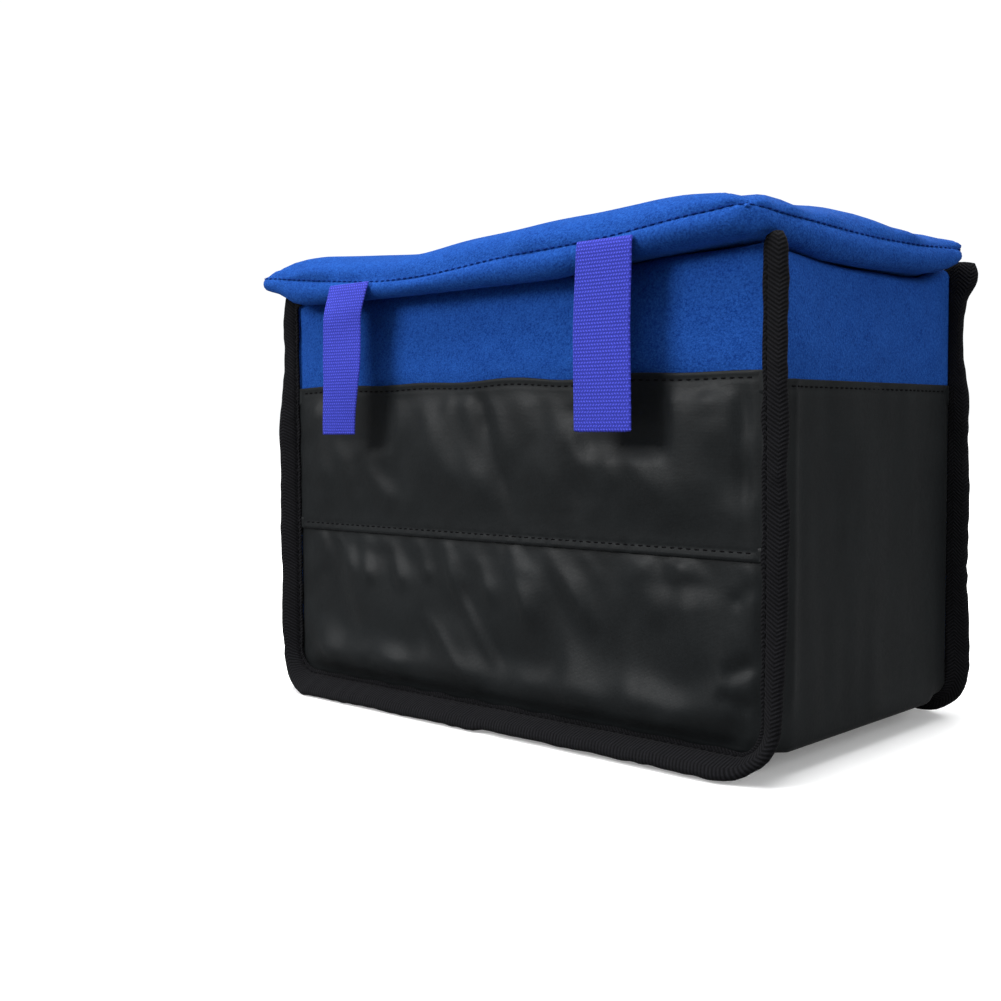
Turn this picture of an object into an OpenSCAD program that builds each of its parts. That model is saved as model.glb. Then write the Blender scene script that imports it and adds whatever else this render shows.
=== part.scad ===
// Padded camera insert: a soft box with loop-cloth walls, black nylon pockets, two bound seams
// that form its feet, a hinged padded lid with two hook straps, and two movable dividers.
// Front is -Y, right is +X, and the origin is on the ground under the middle of the box.

/* [Case] */
// Width over the outer faces of the side walls
case_w = 258; // [230:1:290]
// Depth over the outer faces of the front and back walls
case_d = 140; // [125:1:165]
// Height of the padded rim above the ground
rim_z = 184; // [170:1:200]
// Height of the underside of the base above the ground
base_z = 9; // [7:0.5:12]
// Thickness of a padded wall with its cloth
wall_t = 10; // [8:0.5:13]
// Thickness of the loop cloth
cloth_t = 1.2; // [0.8:0.1:1.6]
// Thickness of the nylon
nylon_t = 0.8; // [0.4:0.1:1]

/* [Pockets] */
// Height of the front and back pocket mouths
pocket_z = 144; // [120:1:155]
// Height of the side pocket mouths
side_pocket_z = 141; // [120:1:155]
// Height of the lapped seam across the front pocket
lap_z = 80; // [50:1:100]
// Width of the turned hem at a pocket mouth
hem_w = 8; // [5:0.5:12]

/* [Binding] */
// How far a bound seam stands out past the walls
flange_w = 9; // [7:0.5:12]
// How far the tape laps onto the front and back panels
tape_lap = 2.7; // [2:0.1:5]
// Thickness of the tape
tape_t = 1.2; // [0.8:0.1:1.6]
// Height of the cut ends of the tape
tape_top_z = 190; // [186:1:195]
// Radius of a bound seam at the bottom corners
flange_r = 16; // [12:1:24]
// How far the feet splay out from the walls
foot_out = 11.8; // [4:0.2:14]

/* [Lid] */
// Width of the lid
lid_w = 278; // [262:1:290]
// Front edge of the lid, measured from the middle of the box
lid_front = 83.5; // [78:0.5:90]
// Back edge of the lid, measured from the middle of the box
lid_back = 67; // [62:0.5:68]
// Thickness of the lid
lid_t = 18.5; // [14:0.5:22]
// Height of the lid seam above the underside of the lid
lid_seam_up = 10; // [7:0.5:13]
// Radius of the lid corners, seen from above
lid_corner_r = 12; // [6:1:20]

/* [Straps] */
// Width of a hook strap
strap_w = 25; // [20:1:38]
// Free length of a hook strap
strap_len = 71; // [50:1:90]
// Distance of each strap from the middle
strap_x = 72; // [50:1:90]

/* [Dividers] */
// Distance of each divider from the middle
divider_x = 42; // [30:1:60]
// Thickness of a divider with its cloth
divider_t = 8; // [6:0.5:10]
// Height of the top of the dividers
divider_top_z = 166; // [120:1:175]
// Width of the hook tape across the end of a divider
divider_hook_w = 20; // [12:1:26]

/* [Stitching] */
// Distance from one stitch to the next
stitch_pitch = 3.6; // [3:0.2:6]
// Thickness of the sewing thread
thread_d = 0.6; // [0.4:0.1:0.8]

/* [Hidden] */

xs = case_w / 2;                            // outer face of a side wall
ys = case_d / 2;                            // outer face of the front or back wall
xi = xs - wall_t;                           // inner face of a side wall
yi = ys - wall_t;                           // inner face of the front or back wall
floor_z = base_z + wall_t;                  // inner floor
stack_z = rim_z - cloth_t;                  // top of the boards and linings, under the turned rim
tape_face = nylon_t + tape_t;               // outer face of the tape, out from the wall
flange_back = 1.6;                          // inner face of a bound seam, in from the wall
seam_t = tape_face + flange_back;           // thickness of a bound seam
flange_x = xs + flange_w;                   // outer edge of a bound seam
foot_t = 4.6;                               // width of a foot on the ground
foot_blend = 22;                            // length over which the seam turns out into a foot
lid_z = rim_z + 0.5;                        // underside of the lid
lid_top_z = lid_z + lid_t;
seam_z = lid_z + lid_seam_up;
lid_low_slope = 5;                          // how far the sides of the lid draw in below the seam
lid_high_slope = 4.5;                       // and above it
notch_gap = 1;                              // room round a tape end under the lid
notch_up = 0.5;
strap_t = 1.2;
hook_t = 0.8;                               // height of the hooks
strap_gap = 0.6;                            // room between a strap and the lid seam
hinge_w = 240;                              // length of the hinge strip
hinge_t = 1;
hinge_bulge = 10.4;                         // slack of the hinge strip
hinge_steps = 12;
divider_gap = 0.4;                          // room between the divider ends and the linings
divider_hook_t = 1.2;
thread_clear = 0.03;                        // room between the thread and the cloth
stitch_len = stitch_pitch * 0.72;
slice = 1;                                  // thickness of the end slices of the foot blend

BLUE = [0.09, 0.25, 0.62];
VIOLET = [0.31, 0.27, 0.80];
BLACK = [0.09, 0.10, 0.11];
TAPE = [0.07, 0.07, 0.07];
FOAM = [0.55, 0.56, 0.58];
LINING = [0.10, 0.27, 0.66];

// A box between two opposite corners.
module slab(lo, hi) translate(lo) cube(hi - lo);

// The children and their reflection across the plane with this normal.
module both(normal) {
    children();
    mirror(normal) children();
}

// Extrudes a profile drawn in (y, z) along X, centred.
module along_x(length) rotate([90, 0, 90]) linear_extrude(length, center = true) children();

// Extrudes a profile drawn in (x, z) along Y, centred.
module along_y(length) rotate([90, 0, 0]) linear_extrude(length, center = true) children();

// ---- walls ----

module front_outer_cloth() color(BLUE) {
    slab([-xs + cloth_t, -ys, base_z + cloth_t], [xs - cloth_t, -ys + cloth_t, stack_z]);
    slab([-xi, -ys, stack_z], [xi, -yi, rim_z]);
}

module front_foam_board() color(FOAM)
    slab([-xi - cloth_t, -ys + cloth_t, floor_z - cloth_t], [xi + cloth_t, -yi - cloth_t, stack_z]);

module front_lining() color(LINING)
    slab([-xi - cloth_t, -yi - cloth_t, floor_z - cloth_t], [xi + cloth_t, -yi, stack_z]);

// One long strip of cloth down one side, under the base and up the other side, turned in at the rims.
module gusset_outer_cloth() color(BLUE) {
    slab([-xs, -ys, base_z], [xs, ys, base_z + cloth_t]);
    both([1, 0, 0]) {
        slab([xs - cloth_t, -ys, base_z], [xs, ys, rim_z]);
        slab([xi, -ys, stack_z], [xs, ys, rim_z]);
    }
}

module right_foam_board() color(FOAM)
    slab([xi + cloth_t, -ys + cloth_t, floor_z - cloth_t], [xs - cloth_t, ys - cloth_t, stack_z]);

module base_foam_board() color(FOAM)
    slab([-xs + cloth_t, -ys + cloth_t, base_z + cloth_t], [xs - cloth_t, ys - cloth_t, floor_z - cloth_t]);

module gusset_lining() color(LINING) {
    slab([-xi - cloth_t, -yi, floor_z - cloth_t], [xi + cloth_t, yi, floor_z]);
    both([1, 0, 0]) slab([xi, -yi, floor_z - cloth_t], [xi + cloth_t, yi, stack_z]);
}

// ---- nylon ----

// The front pocket: a lower sheet, and an upper sheet that laps over it and ends in a turned hem.
module front_pocket_lower() color(BLACK)
    slab([-xs, -ys - nylon_t, base_z], [xs, -ys, lap_z + 4]);

module front_pocket_upper() color(BLACK) {
    half = xs - tape_lap;
    slab([-half, -ys - 2 * nylon_t, lap_z - 2.5], [half, -ys - nylon_t, pocket_z]);
    slab([-half, -ys - nylon_t, pocket_z - hem_w], [half, -ys - 0.1, pocket_z]);
}

module back_pocket() color(BLACK) {
    slab([-xs, ys, base_z], [xs, ys + nylon_t, pocket_z]);
    slab([-xs + tape_lap, ys + nylon_t, pocket_z - hem_w], [xs - tape_lap, ys + 1.5 * nylon_t, pocket_z]);
}

module right_side_pocket() color(BLACK) {
    half = ys - flange_back;
    slab([xs, -half, base_z - nylon_t], [xs + nylon_t, half, side_pocket_z]);
    slab([xs + nylon_t, -half, side_pocket_z - hem_w], [xs + 1.5 * nylon_t, half, side_pocket_z]);
}

module base_nylon() color(BLACK) {
    half = ys - flange_back;
    slab([-xs, -half, base_z - nylon_t], [xs, half, base_z]);
}

// ---- bound seams ----

// The bottom of the seam in section, in (y, z): splayed out into a foot, and upright as at the corners.
module foot_section() polygon([
    [-ys - tape_face, base_z], [-ys + flange_back, base_z],
    [-ys - tape_face - foot_out + foot_t, 0], [-ys - tape_face - foot_out, 0]
]);

module upright_section() polygon([
    [-ys - tape_face, base_z], [-ys + flange_back, base_z], [-ys + flange_back, 0], [-ys - tape_face, 0]
]);

// A quarter of a ring in the plane of the seam, clear of the wall behind it.
module flange_corner() difference() {
    translate([flange_x - flange_r, -ys + flange_back, flange_r]) rotate([90, 0, 0]) intersection() {
        difference() {
            cylinder(h = seam_t, r = flange_r, $fn = 64);
            translate([0, 0, -1]) cylinder(h = seam_t + 2, r = flange_r - flange_w, $fn = 64);
        }
        translate([0, -flange_r - 1, -1]) cube([flange_r + 1, flange_r + 1, seam_t + 2]);
    }
    slab([0, -ys - nylon_t, base_z], [xs, 0, 2 * flange_r]);
}

// A U of tape round the front panel: two uprights, two rounded corners and the splayed foot between them.
module front_binding_tape() color(TAPE) {
    corner_x = flange_x - flange_r;
    foot_x = corner_x - foot_blend;
    both([1, 0, 0]) {
        slab([xs, -ys - tape_face, flange_r], [flange_x, -ys + flange_back, tape_top_z]);
        slab([xs - tape_lap, -ys - tape_face, flange_r], [xs, -ys - nylon_t, tape_top_z]);
        flange_corner();
        hull() {
            translate([corner_x - slice / 2, 0, 0]) along_x(slice) upright_section();
            translate([foot_x + slice / 2, 0, 0]) along_x(slice) foot_section();
        }
    }
    along_x(2 * foot_x) foot_section();
    slab([-corner_x, -ys - tape_face, base_z], [corner_x, -ys - nylon_t, base_z + tape_lap]);
}

// ---- lid ----

// Outline of a pad in section: widest at the seam, drawn in above and below it.
module pad_section(lo, hi, inset) polygon([
    [lo + lid_low_slope + inset, lid_z + inset], [hi - lid_low_slope - inset, lid_z + inset],
    [hi - inset, seam_z],
    [hi - lid_high_slope - inset, lid_top_z - inset], [lo + lid_high_slope + inset, lid_top_z - inset],
    [lo + inset, seam_z]
]);

module rounded_plan(lo, hi, r) {
    translate([lo.x + r, lo.y]) square([hi.x - lo.x - 2 * r, hi.y - lo.y]);
    translate([lo.x, lo.y + r]) square([hi.x - lo.x, hi.y - lo.y - 2 * r]);
    for (x = [lo.x + r, hi.x - r], y = [lo.y + r, hi.y - r]) translate([x, y]) circle(r, $fn = 64);
}

// The whole pad, shrunk by inset on every face.
module lid_pad(inset) intersection() {
    along_x(lid_w) pad_section(-lid_front, lid_back, inset);
    translate([0, (lid_back - lid_front) / 2, 0])
        along_y(lid_back + lid_front) pad_section(-lid_w / 2, lid_w / 2, inset);
    translate([0, 0, lid_z]) linear_extrude(lid_t)
        rounded_plan([-lid_w / 2 + inset, -lid_front + inset], [lid_w / 2 - inset, lid_back - inset],
                     lid_corner_r - inset);
}

// Room under the lid for the upright ends of the front tape.
module tape_end_notches() both([1, 0, 0])
    slab([xs - tape_lap - notch_gap, -ys - tape_face - notch_gap, lid_z - 1],
         [lid_w / 2 + 1, -ys + flange_back + notch_gap, tape_top_z + notch_up]);

module lid_bottom_cloth() color(BLUE) difference() {
    intersection() {
        lid_pad(0);
        slab([-lid_w, -lid_w, lid_z - 1], [lid_w, lid_w, seam_z]);
    }
    lid_pad(cloth_t);
    tape_end_notches();
}

module lid_top_cloth() color(BLUE) difference() {
    intersection() {
        lid_pad(0);
        slab([-lid_w, -lid_w, seam_z], [lid_w, lid_w, lid_top_z + 1]);
    }
    lid_pad(cloth_t);
}

module lid_foam_board() color(FOAM) difference() {
    lid_pad(cloth_t);
    tape_end_notches();
}

// The slack loop of the hinge strip in (y, z), from the back wall up to the lid seam.
function hinge_path() = concat(
    [[ys + hinge_t / 2, rim_z - 12]],
    [for (i = [0 : hinge_steps]) let (s = i / hinge_steps)
        [ys + hinge_t / 2 + s * (lid_back - ys + 0.1) + hinge_bulge * sin(180 * s),
         rim_z + s * (seam_z - rim_z)]]
);

function unit(v) = v / norm(v);

// One side of a band that follows a path, offset by half its thickness.
function band_side(path, t) = [for (i = [0 : len(path) - 1])
    let (a = path[max(i - 1, 0)], b = path[min(i + 1, len(path) - 1)], d = unit(b - a))
        path[i] + t / 2 * [-d.y, d.x]];

function reversed(list) = [for (i = [len(list) - 1 : -1 : 0]) list[i]];

module lid_hinge_strip() color(BLUE) along_x(hinge_w)
    polygon(concat(band_side(hinge_path(), hinge_t), reversed(band_side(hinge_path(), -hinge_t))));

// ---- straps ----

module strap_tape() color(VIOLET)
    slab([-strap_w / 2, -lid_front - strap_gap - strap_t, seam_z - strap_len],
         [strap_w / 2, -lid_front - strap_gap, seam_z]);

module strap_hooks() color(VIOLET)
    slab([-strap_w / 2 + 1.5, -lid_front - strap_gap, seam_z - strap_len + 1.5],
         [strap_w / 2 - 1.5, -lid_front - strap_gap + hook_t, lid_z - 3]);

// ---- dividers ----

divider_end = yi - divider_gap - divider_hook_t;
divider_foot_z = floor_z + 0.3;

module divider_block(inset)
    slab([-divider_t / 2 + inset, -divider_end + inset, divider_foot_z + inset],
         [divider_t / 2 - inset, divider_end - inset, divider_top_z - inset]);

module divider_cover() color(LINING) difference() {
    divider_block(0);
    divider_block(cloth_t);
}

module divider_foam() color(FOAM) divider_block(cloth_t);

// Hook tape across both ends, wider than the divider, so that its wings grip the linings.
module divider_hooks() color(BLACK) both([0, 1, 0])
    slab([-divider_hook_w / 2, divider_end, divider_foot_z + 8],
         [divider_hook_w / 2, divider_end + divider_hook_t, divider_top_z - 12]);

// ---- stitching ----

module stitch() cube([stitch_len, thread_d, thread_d], center = true);

// A row of separate stitches along X, centred, filling this length.
module stitch_row(length) {
    count = floor(length / stitch_pitch);
    for (i = [0 : count - 1]) translate([(i - (count - 1) / 2) * stitch_pitch, 0, 0]) stitch();
}

// A row of stitches up Z.
module stitch_column(lo, hi) translate([0, 0, (lo + hi) / 2]) rotate([0, -90, 0]) stitch_row(hi - lo);

thread_off = thread_d / 2 + thread_clear;

module front_pocket_thread() color(BLACK)
    for (z = [pocket_z - 4, lap_z + 0.5])
        translate([0, -ys - 2 * nylon_t - thread_off, z]) stitch_row(2 * (xs - tape_lap) - 4);

module back_pocket_thread() color(BLACK)
    translate([0, ys + 1.5 * nylon_t + thread_off, pocket_z - 4]) stitch_row(2 * (xs - tape_lap) - 4);

module side_pocket_thread() color(BLACK) both([1, 0, 0])
    translate([xs + 1.5 * nylon_t + thread_off, 0, side_pocket_z - 4]) rotate(90)
        stitch_row(2 * (ys - flange_back) - 4);

module front_binding_thread() color(BLACK) translate([0, -ys - tape_face - thread_off, 0]) {
    both([1, 0, 0]) translate([xs - tape_lap / 2, 0, 0]) stitch_column(flange_r + 2, tape_top_z - 2);
    translate([0, 0, base_z + tape_lap / 2]) stitch_row(2 * (flange_x - flange_r) - 2);
}

// The seam of the lid, just above the widest line of the pad and outside its cloth.
module lid_seam_thread() color(BLUE) {
    up = 1.2;
    out = thread_off - (up - thread_d / 2) * lid_high_slope / (lid_t - lid_seam_up);
    width = lid_w - 2 * lid_corner_r;
    depth = lid_front + lid_back - 2 * lid_corner_r;
    translate([0, 0, seam_z + up]) {
        translate([0, -lid_front - out, 0]) stitch_row(width);
        translate([0, lid_back + out, 0]) stitch_row(width);
        both([1, 0, 0]) translate([lid_w / 2 + out, (lid_back - lid_front) / 2, 0]) rotate(90)
            stitch_row(depth);
    }
}

module to_back() mirror([0, 1, 0]) children();
module to_left() mirror([1, 0, 0]) children();
module at_x(x) translate([x, 0, 0]) children();

front_outer_cloth();
to_back() front_outer_cloth();  // back_outer_cloth
gusset_outer_cloth();
front_foam_board();
to_back() front_foam_board();  // back_foam_board
to_left() right_foam_board();  // left_foam_board
right_foam_board();
base_foam_board();
front_lining();
to_back() front_lining();  // back_lining
gusset_lining();
front_pocket_upper();
front_pocket_lower();
back_pocket();
to_left() right_side_pocket();  // left_side_pocket
right_side_pocket();
base_nylon();
front_binding_tape();
to_back() front_binding_tape();  // back_binding_tape
lid_top_cloth();
lid_bottom_cloth();
lid_foam_board();
lid_hinge_strip();
at_x(-strap_x) strap_tape();  // strap_left_tape
at_x(-strap_x) strap_hooks();  // strap_left_hooks
at_x(strap_x) strap_tape();  // strap_right_tape
at_x(strap_x) strap_hooks();  // strap_right_hooks
at_x(-divider_x) divider_cover();  // divider_left_cover
at_x(-divider_x) divider_foam();  // divider_left_foam
at_x(-divider_x) divider_hooks();  // divider_left_hooks
at_x(divider_x) divider_cover();  // divider_right_cover
at_x(divider_x) divider_foam();  // divider_right_foam
at_x(divider_x) divider_hooks();  // divider_right_hooks
front_pocket_thread();
back_pocket_thread();
side_pocket_thread();
front_binding_thread();
to_back() front_binding_thread();  // back_binding_thread
lid_seam_thread();
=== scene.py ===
"""Padded camera insert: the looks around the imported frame.

Shapes are worked out in millimetres and turned into metres in make(). Lights and camera are placed in metres.
"""

import math

import bpy
import numpy as np
from mathutils import Matrix, Vector


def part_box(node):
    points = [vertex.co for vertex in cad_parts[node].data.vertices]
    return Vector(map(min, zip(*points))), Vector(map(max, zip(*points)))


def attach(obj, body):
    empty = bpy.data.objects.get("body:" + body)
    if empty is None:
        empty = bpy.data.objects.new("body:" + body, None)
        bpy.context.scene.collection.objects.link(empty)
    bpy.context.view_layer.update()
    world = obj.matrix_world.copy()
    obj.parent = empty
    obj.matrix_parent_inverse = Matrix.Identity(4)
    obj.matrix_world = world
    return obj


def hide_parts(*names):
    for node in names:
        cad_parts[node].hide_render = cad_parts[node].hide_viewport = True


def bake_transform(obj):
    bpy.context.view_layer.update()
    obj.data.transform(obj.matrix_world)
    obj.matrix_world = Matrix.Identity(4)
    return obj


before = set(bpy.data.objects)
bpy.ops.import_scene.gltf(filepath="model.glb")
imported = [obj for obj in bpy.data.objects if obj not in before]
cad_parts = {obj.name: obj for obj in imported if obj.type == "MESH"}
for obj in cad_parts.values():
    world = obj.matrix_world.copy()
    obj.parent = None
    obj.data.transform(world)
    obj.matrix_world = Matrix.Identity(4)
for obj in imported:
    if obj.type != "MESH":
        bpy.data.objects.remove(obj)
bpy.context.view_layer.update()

MM = 0.001


def corners(node):
    """Lowest and highest corner of a CAD node, in mm."""
    lo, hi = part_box(node)
    return np.array(lo) / MM, np.array(hi) / MM


# ---- places and sizes that come from the frame ----
# q is how far a point is in from the outer face of its wall, so faces that stand proud have a negative q

CASE_LO, CASE_HI = corners("gusset_outer_cloth")
XS, YS, BASE, RIM = CASE_HI[0], CASE_HI[1], CASE_LO[2], CASE_HI[2]
WALL = YS + corners("front_outer_cloth")[1][1]
XI, YI, FLOOR = XS - WALL, YS - WALL, BASE + WALL
UPPER_LO, UPPER_HI = corners("front_pocket_upper")
LOWER_LO, LOWER_HI = corners("front_pocket_lower")
SIDE_HI = corners("right_side_pocket")[1]
TURN_UNDER = 2.5        # from the bottom edge of the upper pocket sheet up to the line of its lap
LAP = UPPER_LO[2] + TURN_UNDER
HEM, SIDE_HEM = UPPER_HI[2], SIDE_HI[2]
PANEL_X, PANEL_Y = UPPER_HI[0], SIDE_HI[1]
UPPER_Q, LOWER_Q = YS + UPPER_LO[1], YS + LOWER_LO[1]
TAPE_LO, TAPE_HI = corners("front_binding_tape")
FLANGE = TAPE_HI[0] - XS
TAPE_BACK = YS + TAPE_HI[1]
TAPE_FRONT = 2.0        # how far the tape stands out from the face of its wall
FOOT_Y = -TAPE_LO[1]
LID_LO, LID_HI = corners("lid_bottom_cloth")
LID_TOP = corners("lid_top_cloth")[1][2]
SEAM = LID_HI[2]
STRAP_LO, STRAP_HI = corners("strap_right_tape")
DIV_LO, DIV_HI = corners("divider_right_cover")
DIV_HOOK_LO, DIV_HOOK_HI = corners("divider_right_hooks")
STITCH = 3.6            # from one stitch to the next
LONG_SIDES = ("front", "back")


# ---- smooth random fields and curves ----

WAVES = 16              # how many sine waves make up a random field


def waves(points, length, seed):
    """A smooth random field, about -1.5..1.5, with bumps about this many mm apart."""
    rng = np.random.default_rng(seed)
    points = np.asarray(points, float)
    total = np.zeros(points.shape[:-1])
    for _ in range(WAVES):
        way = rng.normal(size=points.shape[-1])
        way *= 2 * math.pi / (length * rng.uniform(0.7, 1.6) * np.linalg.norm(way))
        total += np.sin(points @ way + rng.uniform(0, 2 * math.pi))
    return total / math.sqrt(WAVES / 2)


def bell(x, centre, width):
    return np.exp(-((np.asarray(x, float) - centre) / width) ** 2)


def smooth(x, lo, hi):
    t = np.clip((np.asarray(x, float) - lo) / (hi - lo), 0, 1)
    return t * t * (3 - 2 * t)


def fade(x, lo, hi):
    return 1 - smooth(x, lo, hi)


def spaced(lo, hi, step, ends=(0.0, 0.6, 1.6, 3.2, 5.5)):
    """Places from lo to hi about a step apart, closer together near both ends."""
    ends = np.array(ends)
    count = max(2, round((hi - lo - 2 * ends[-1]) / step))
    inner = np.linspace(lo + ends[-1], hi - ends[-1], count + 1)
    return np.concatenate([lo + ends[:-1], inner, (hi - ends[:-1])[::-1]])


def measured(points):
    """How far along a line each of its points is. For a stack of lines, their mean."""
    steps = np.linalg.norm(np.diff(points, axis=0), axis=-1)
    return np.concatenate([[0], np.cumsum(steps.reshape(len(steps), -1).mean(1))])


def join(*parts):
    return np.stack(parts, -1)


def table(a, b):
    """Both values at each place of a grid."""
    return np.meshgrid(a, b, indexing="ij")


def unit(vectors):
    return vectors / np.maximum(np.linalg.norm(vectors, axis=-1, keepdims=True), 1e-9)


def steps_in(n, m):
    """How many steps each place of a grid is in from its edge, and whether that edge ends the second axis."""
    i, j = table(np.arange(n), np.arange(m))
    second = np.minimum(j, m - 1 - j)
    steps = np.minimum(np.minimum(i, n - 1 - i), second)
    return steps, second == steps


def path_points(path, step):
    """Points every step or so along a polyline, with its corners kept."""
    out = [np.array(path[0], float)]
    for a, b in zip(path[:-1], path[1:]):
        a, b = np.array(a, float), np.array(b, float)
        n = max(1, round(np.linalg.norm(b - a) / step))
        out += [a + (b - a) * i / n for i in range(1, n + 1)]
    return np.array(out)


def arc(centre, radius, start, end, n=8):
    """Points of an arc in a plane, angles in degrees."""
    t = np.radians(np.linspace(start, end, n + 1))
    return [(centre[0] + radius * math.cos(a), centre[1] + radius * math.sin(a)) for a in t]


# ---- meshes ----

def make(name, verts, faces, uv=None):
    mesh = bpy.data.meshes.new(name)
    mesh.from_pydata((np.asarray(verts) * MM).tolist(), [], faces)
    mesh.polygons.foreach_set("use_smooth", [True] * len(mesh.polygons))
    if uv is not None:
        layer = mesh.uv_layers.new(name="weave")
        loops = np.zeros(len(mesh.loops), int)
        mesh.loops.foreach_get("vertex_index", loops)
        layer.data.foreach_set("uv", np.asarray(uv, float)[loops].ravel())
    mesh.validate()
    mesh.update()
    obj = bpy.data.objects.new(name, mesh)
    bpy.context.scene.collection.objects.link(obj)
    return obj


def grid_normals(grid):
    return unit(np.cross(np.gradient(grid, axis=0), np.gradient(grid, axis=1)))


def quads(nu, nv, first=0, flip=False):
    out = []
    for i in range(nu - 1):
        for j in range(nv - 1):
            a = first + i * nv + j
            q = (a, a + nv, a + nv + 1, a + 1)
            out.append(q[::-1] if flip else q)
    return out


def lengths(grid):
    """(u, v) of each grid point: how far along the two families of lines, in mm."""
    return join(*table(measured(grid), measured(grid.swapaxes(0, 1))))


def border(nu, nv):
    """Grid places round the edge, in order."""
    ring = [(i, 0) for i in range(nu)] + [(nu - 1, j) for j in range(1, nv)]
    ring += [(i, nv - 1) for i in range(nu - 2, -1, -1)] + [(0, j) for j in range(nv - 2, 0, -1)]
    return np.array(ring)


class Parts:
    """One mesh made of several parts."""

    def __init__(self):
        self.verts, self.faces, self.uv, self.n = [], [], [], 0

    def build(self, name):
        return make(name, np.concatenate(self.verts), self.faces, np.concatenate(self.uv))


class Sheets(Parts):
    """Parts that are cloth sheets, each a grid of its outer face and a thickness."""

    def add(self, grid, thick, flip=False):
        nu, nv = grid.shape[:2]
        normal = grid_normals(grid) * (-1 if flip else 1)
        inner = grid - normal * thick
        ring = border(nu, nv)
        i, j = ring[:, 0], ring[:, 1]
        inward = unit(grid[np.clip(i, 1, nu - 2), np.clip(j, 1, nv - 2)] - grid[i, j])
        edge = (grid[i, j] + inner[i, j]) / 2 - inward * thick / 2
        uv = lengths(grid)
        size = nu * nv
        a, b, c = self.n, self.n + size, self.n + 2 * size
        self.faces += quads(nu, nv, a, flip) + quads(nu, nv, b, not flip)
        m = len(ring)
        for k in range(m):
            p, q = ring[k], ring[(k + 1) % m]
            o0, o1 = p[0] * nv + p[1], q[0] * nv + q[1]
            e0, e1 = c + k, c + (k + 1) % m
            strip = [(a + o1, a + o0, e0, e1), (e1, e0, b + o0, b + o1)]
            self.faces += [s[::-1] for s in strip] if flip else strip
        self.verts += [grid.reshape(-1, 3), inner.reshape(-1, 3), edge]
        self.uv += [uv.reshape(-1, 2), uv.reshape(-1, 2), uv[i, j]]
        self.n += 2 * size + m
        return self


class Lofts(Parts):
    """Parts that are closed tubes, each a stack of closed rings."""

    def add(self, rings):
        rings = np.asarray(rings, float)
        n, m = rings.shape[:2]
        pairs = [(j, (j + 1) % m) for j in range(m)]
        for a in range(self.n, self.n + (n - 1) * m, m):
            self.faces += [(a + j, a + j2, a + m + j2, a + m + j) for j, j2 in pairs]
        first, last = self.n, self.n + (n - 1) * m
        self.n += n * m + 2
        for j, j2 in pairs:
            self.faces += [(self.n - 2, first + j2, first + j), (self.n - 1, last + j, last + j2)]
        along, across = measured(rings), measured(rings[0])
        self.verts += [rings.reshape(-1, 3), np.array([rings[0].mean(0), rings[-1].mean(0)])]
        self.uv += [join(*table(along, across)).reshape(-1, 2), np.array([[0, 0], [along[-1], 0]])]
        return self


THREAD_R = 0.33
THREAD_SHARE = 0.74     # how much of the pitch a stitch shows
THREAD_SINK = 0.75      # how deep its ends dip


def add_stitches(lofts, line, normals, pitch=STITCH, lift=0.12):
    """Short threads lying along a line on the cloth, each one dipping into it at both ends."""
    line, normals = np.asarray(line, float), np.asarray(normals, float)
    s = measured(line)
    count = int(s[-1] // pitch)
    start = (s[-1] - count * pitch) / 2
    steps = np.linspace(-0.5, 0.5, 7)
    sink = lift - THREAD_SINK * (2 * steps) ** 4
    width = THREAD_R * (1 - 0.45 * (2 * np.abs(steps)) ** 4)
    round_thread = [(math.cos(t), math.sin(t)) for t in np.linspace(0, 2 * math.pi, 7)[:-1]]
    for k in range(count):
        at = start + (k + 0.5) * pitch + steps * pitch * THREAD_SHARE
        p = np.stack([np.interp(at, s, line[:, a]) for a in range(3)], 1)
        n = unit(np.stack([np.interp(at, s, normals[:, a]) for a in range(3)], 1))
        way = p[-1] - p[0]
        way /= np.linalg.norm(way)
        side = np.cross(n, way)
        lofts.add([[p[q] + n[q] * sink[q] + width[q] * (c * side[q] + d * n[q]) for c, d in round_thread]
                   for q in range(len(steps))])
    return lofts


# ---- materials ----

class Nodes:
    """Short calls to add and wire nodes in a tree."""

    def __init__(self, tree):
        self.tree = tree

    def node(self, kind, settings=None, **inputs):
        n = self.tree.nodes.new("ShaderNode" + kind)
        for key, value in (settings or {}).items():
            setattr(n, key, value)
        for key, value in inputs.items():
            self.put(n, key.replace("_", " "), value)
        return n

    def put(self, n, key, value):
        socket = n.inputs[int(key)] if key.isdigit() else n.inputs[key]
        if isinstance(value, bpy.types.NodeSocket):
            self.tree.links.new(value, socket)
        else:
            socket.default_value = value

    def camera_ray(self):
        return self.node("LightPath").outputs["Is Camera Ray"]


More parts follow.
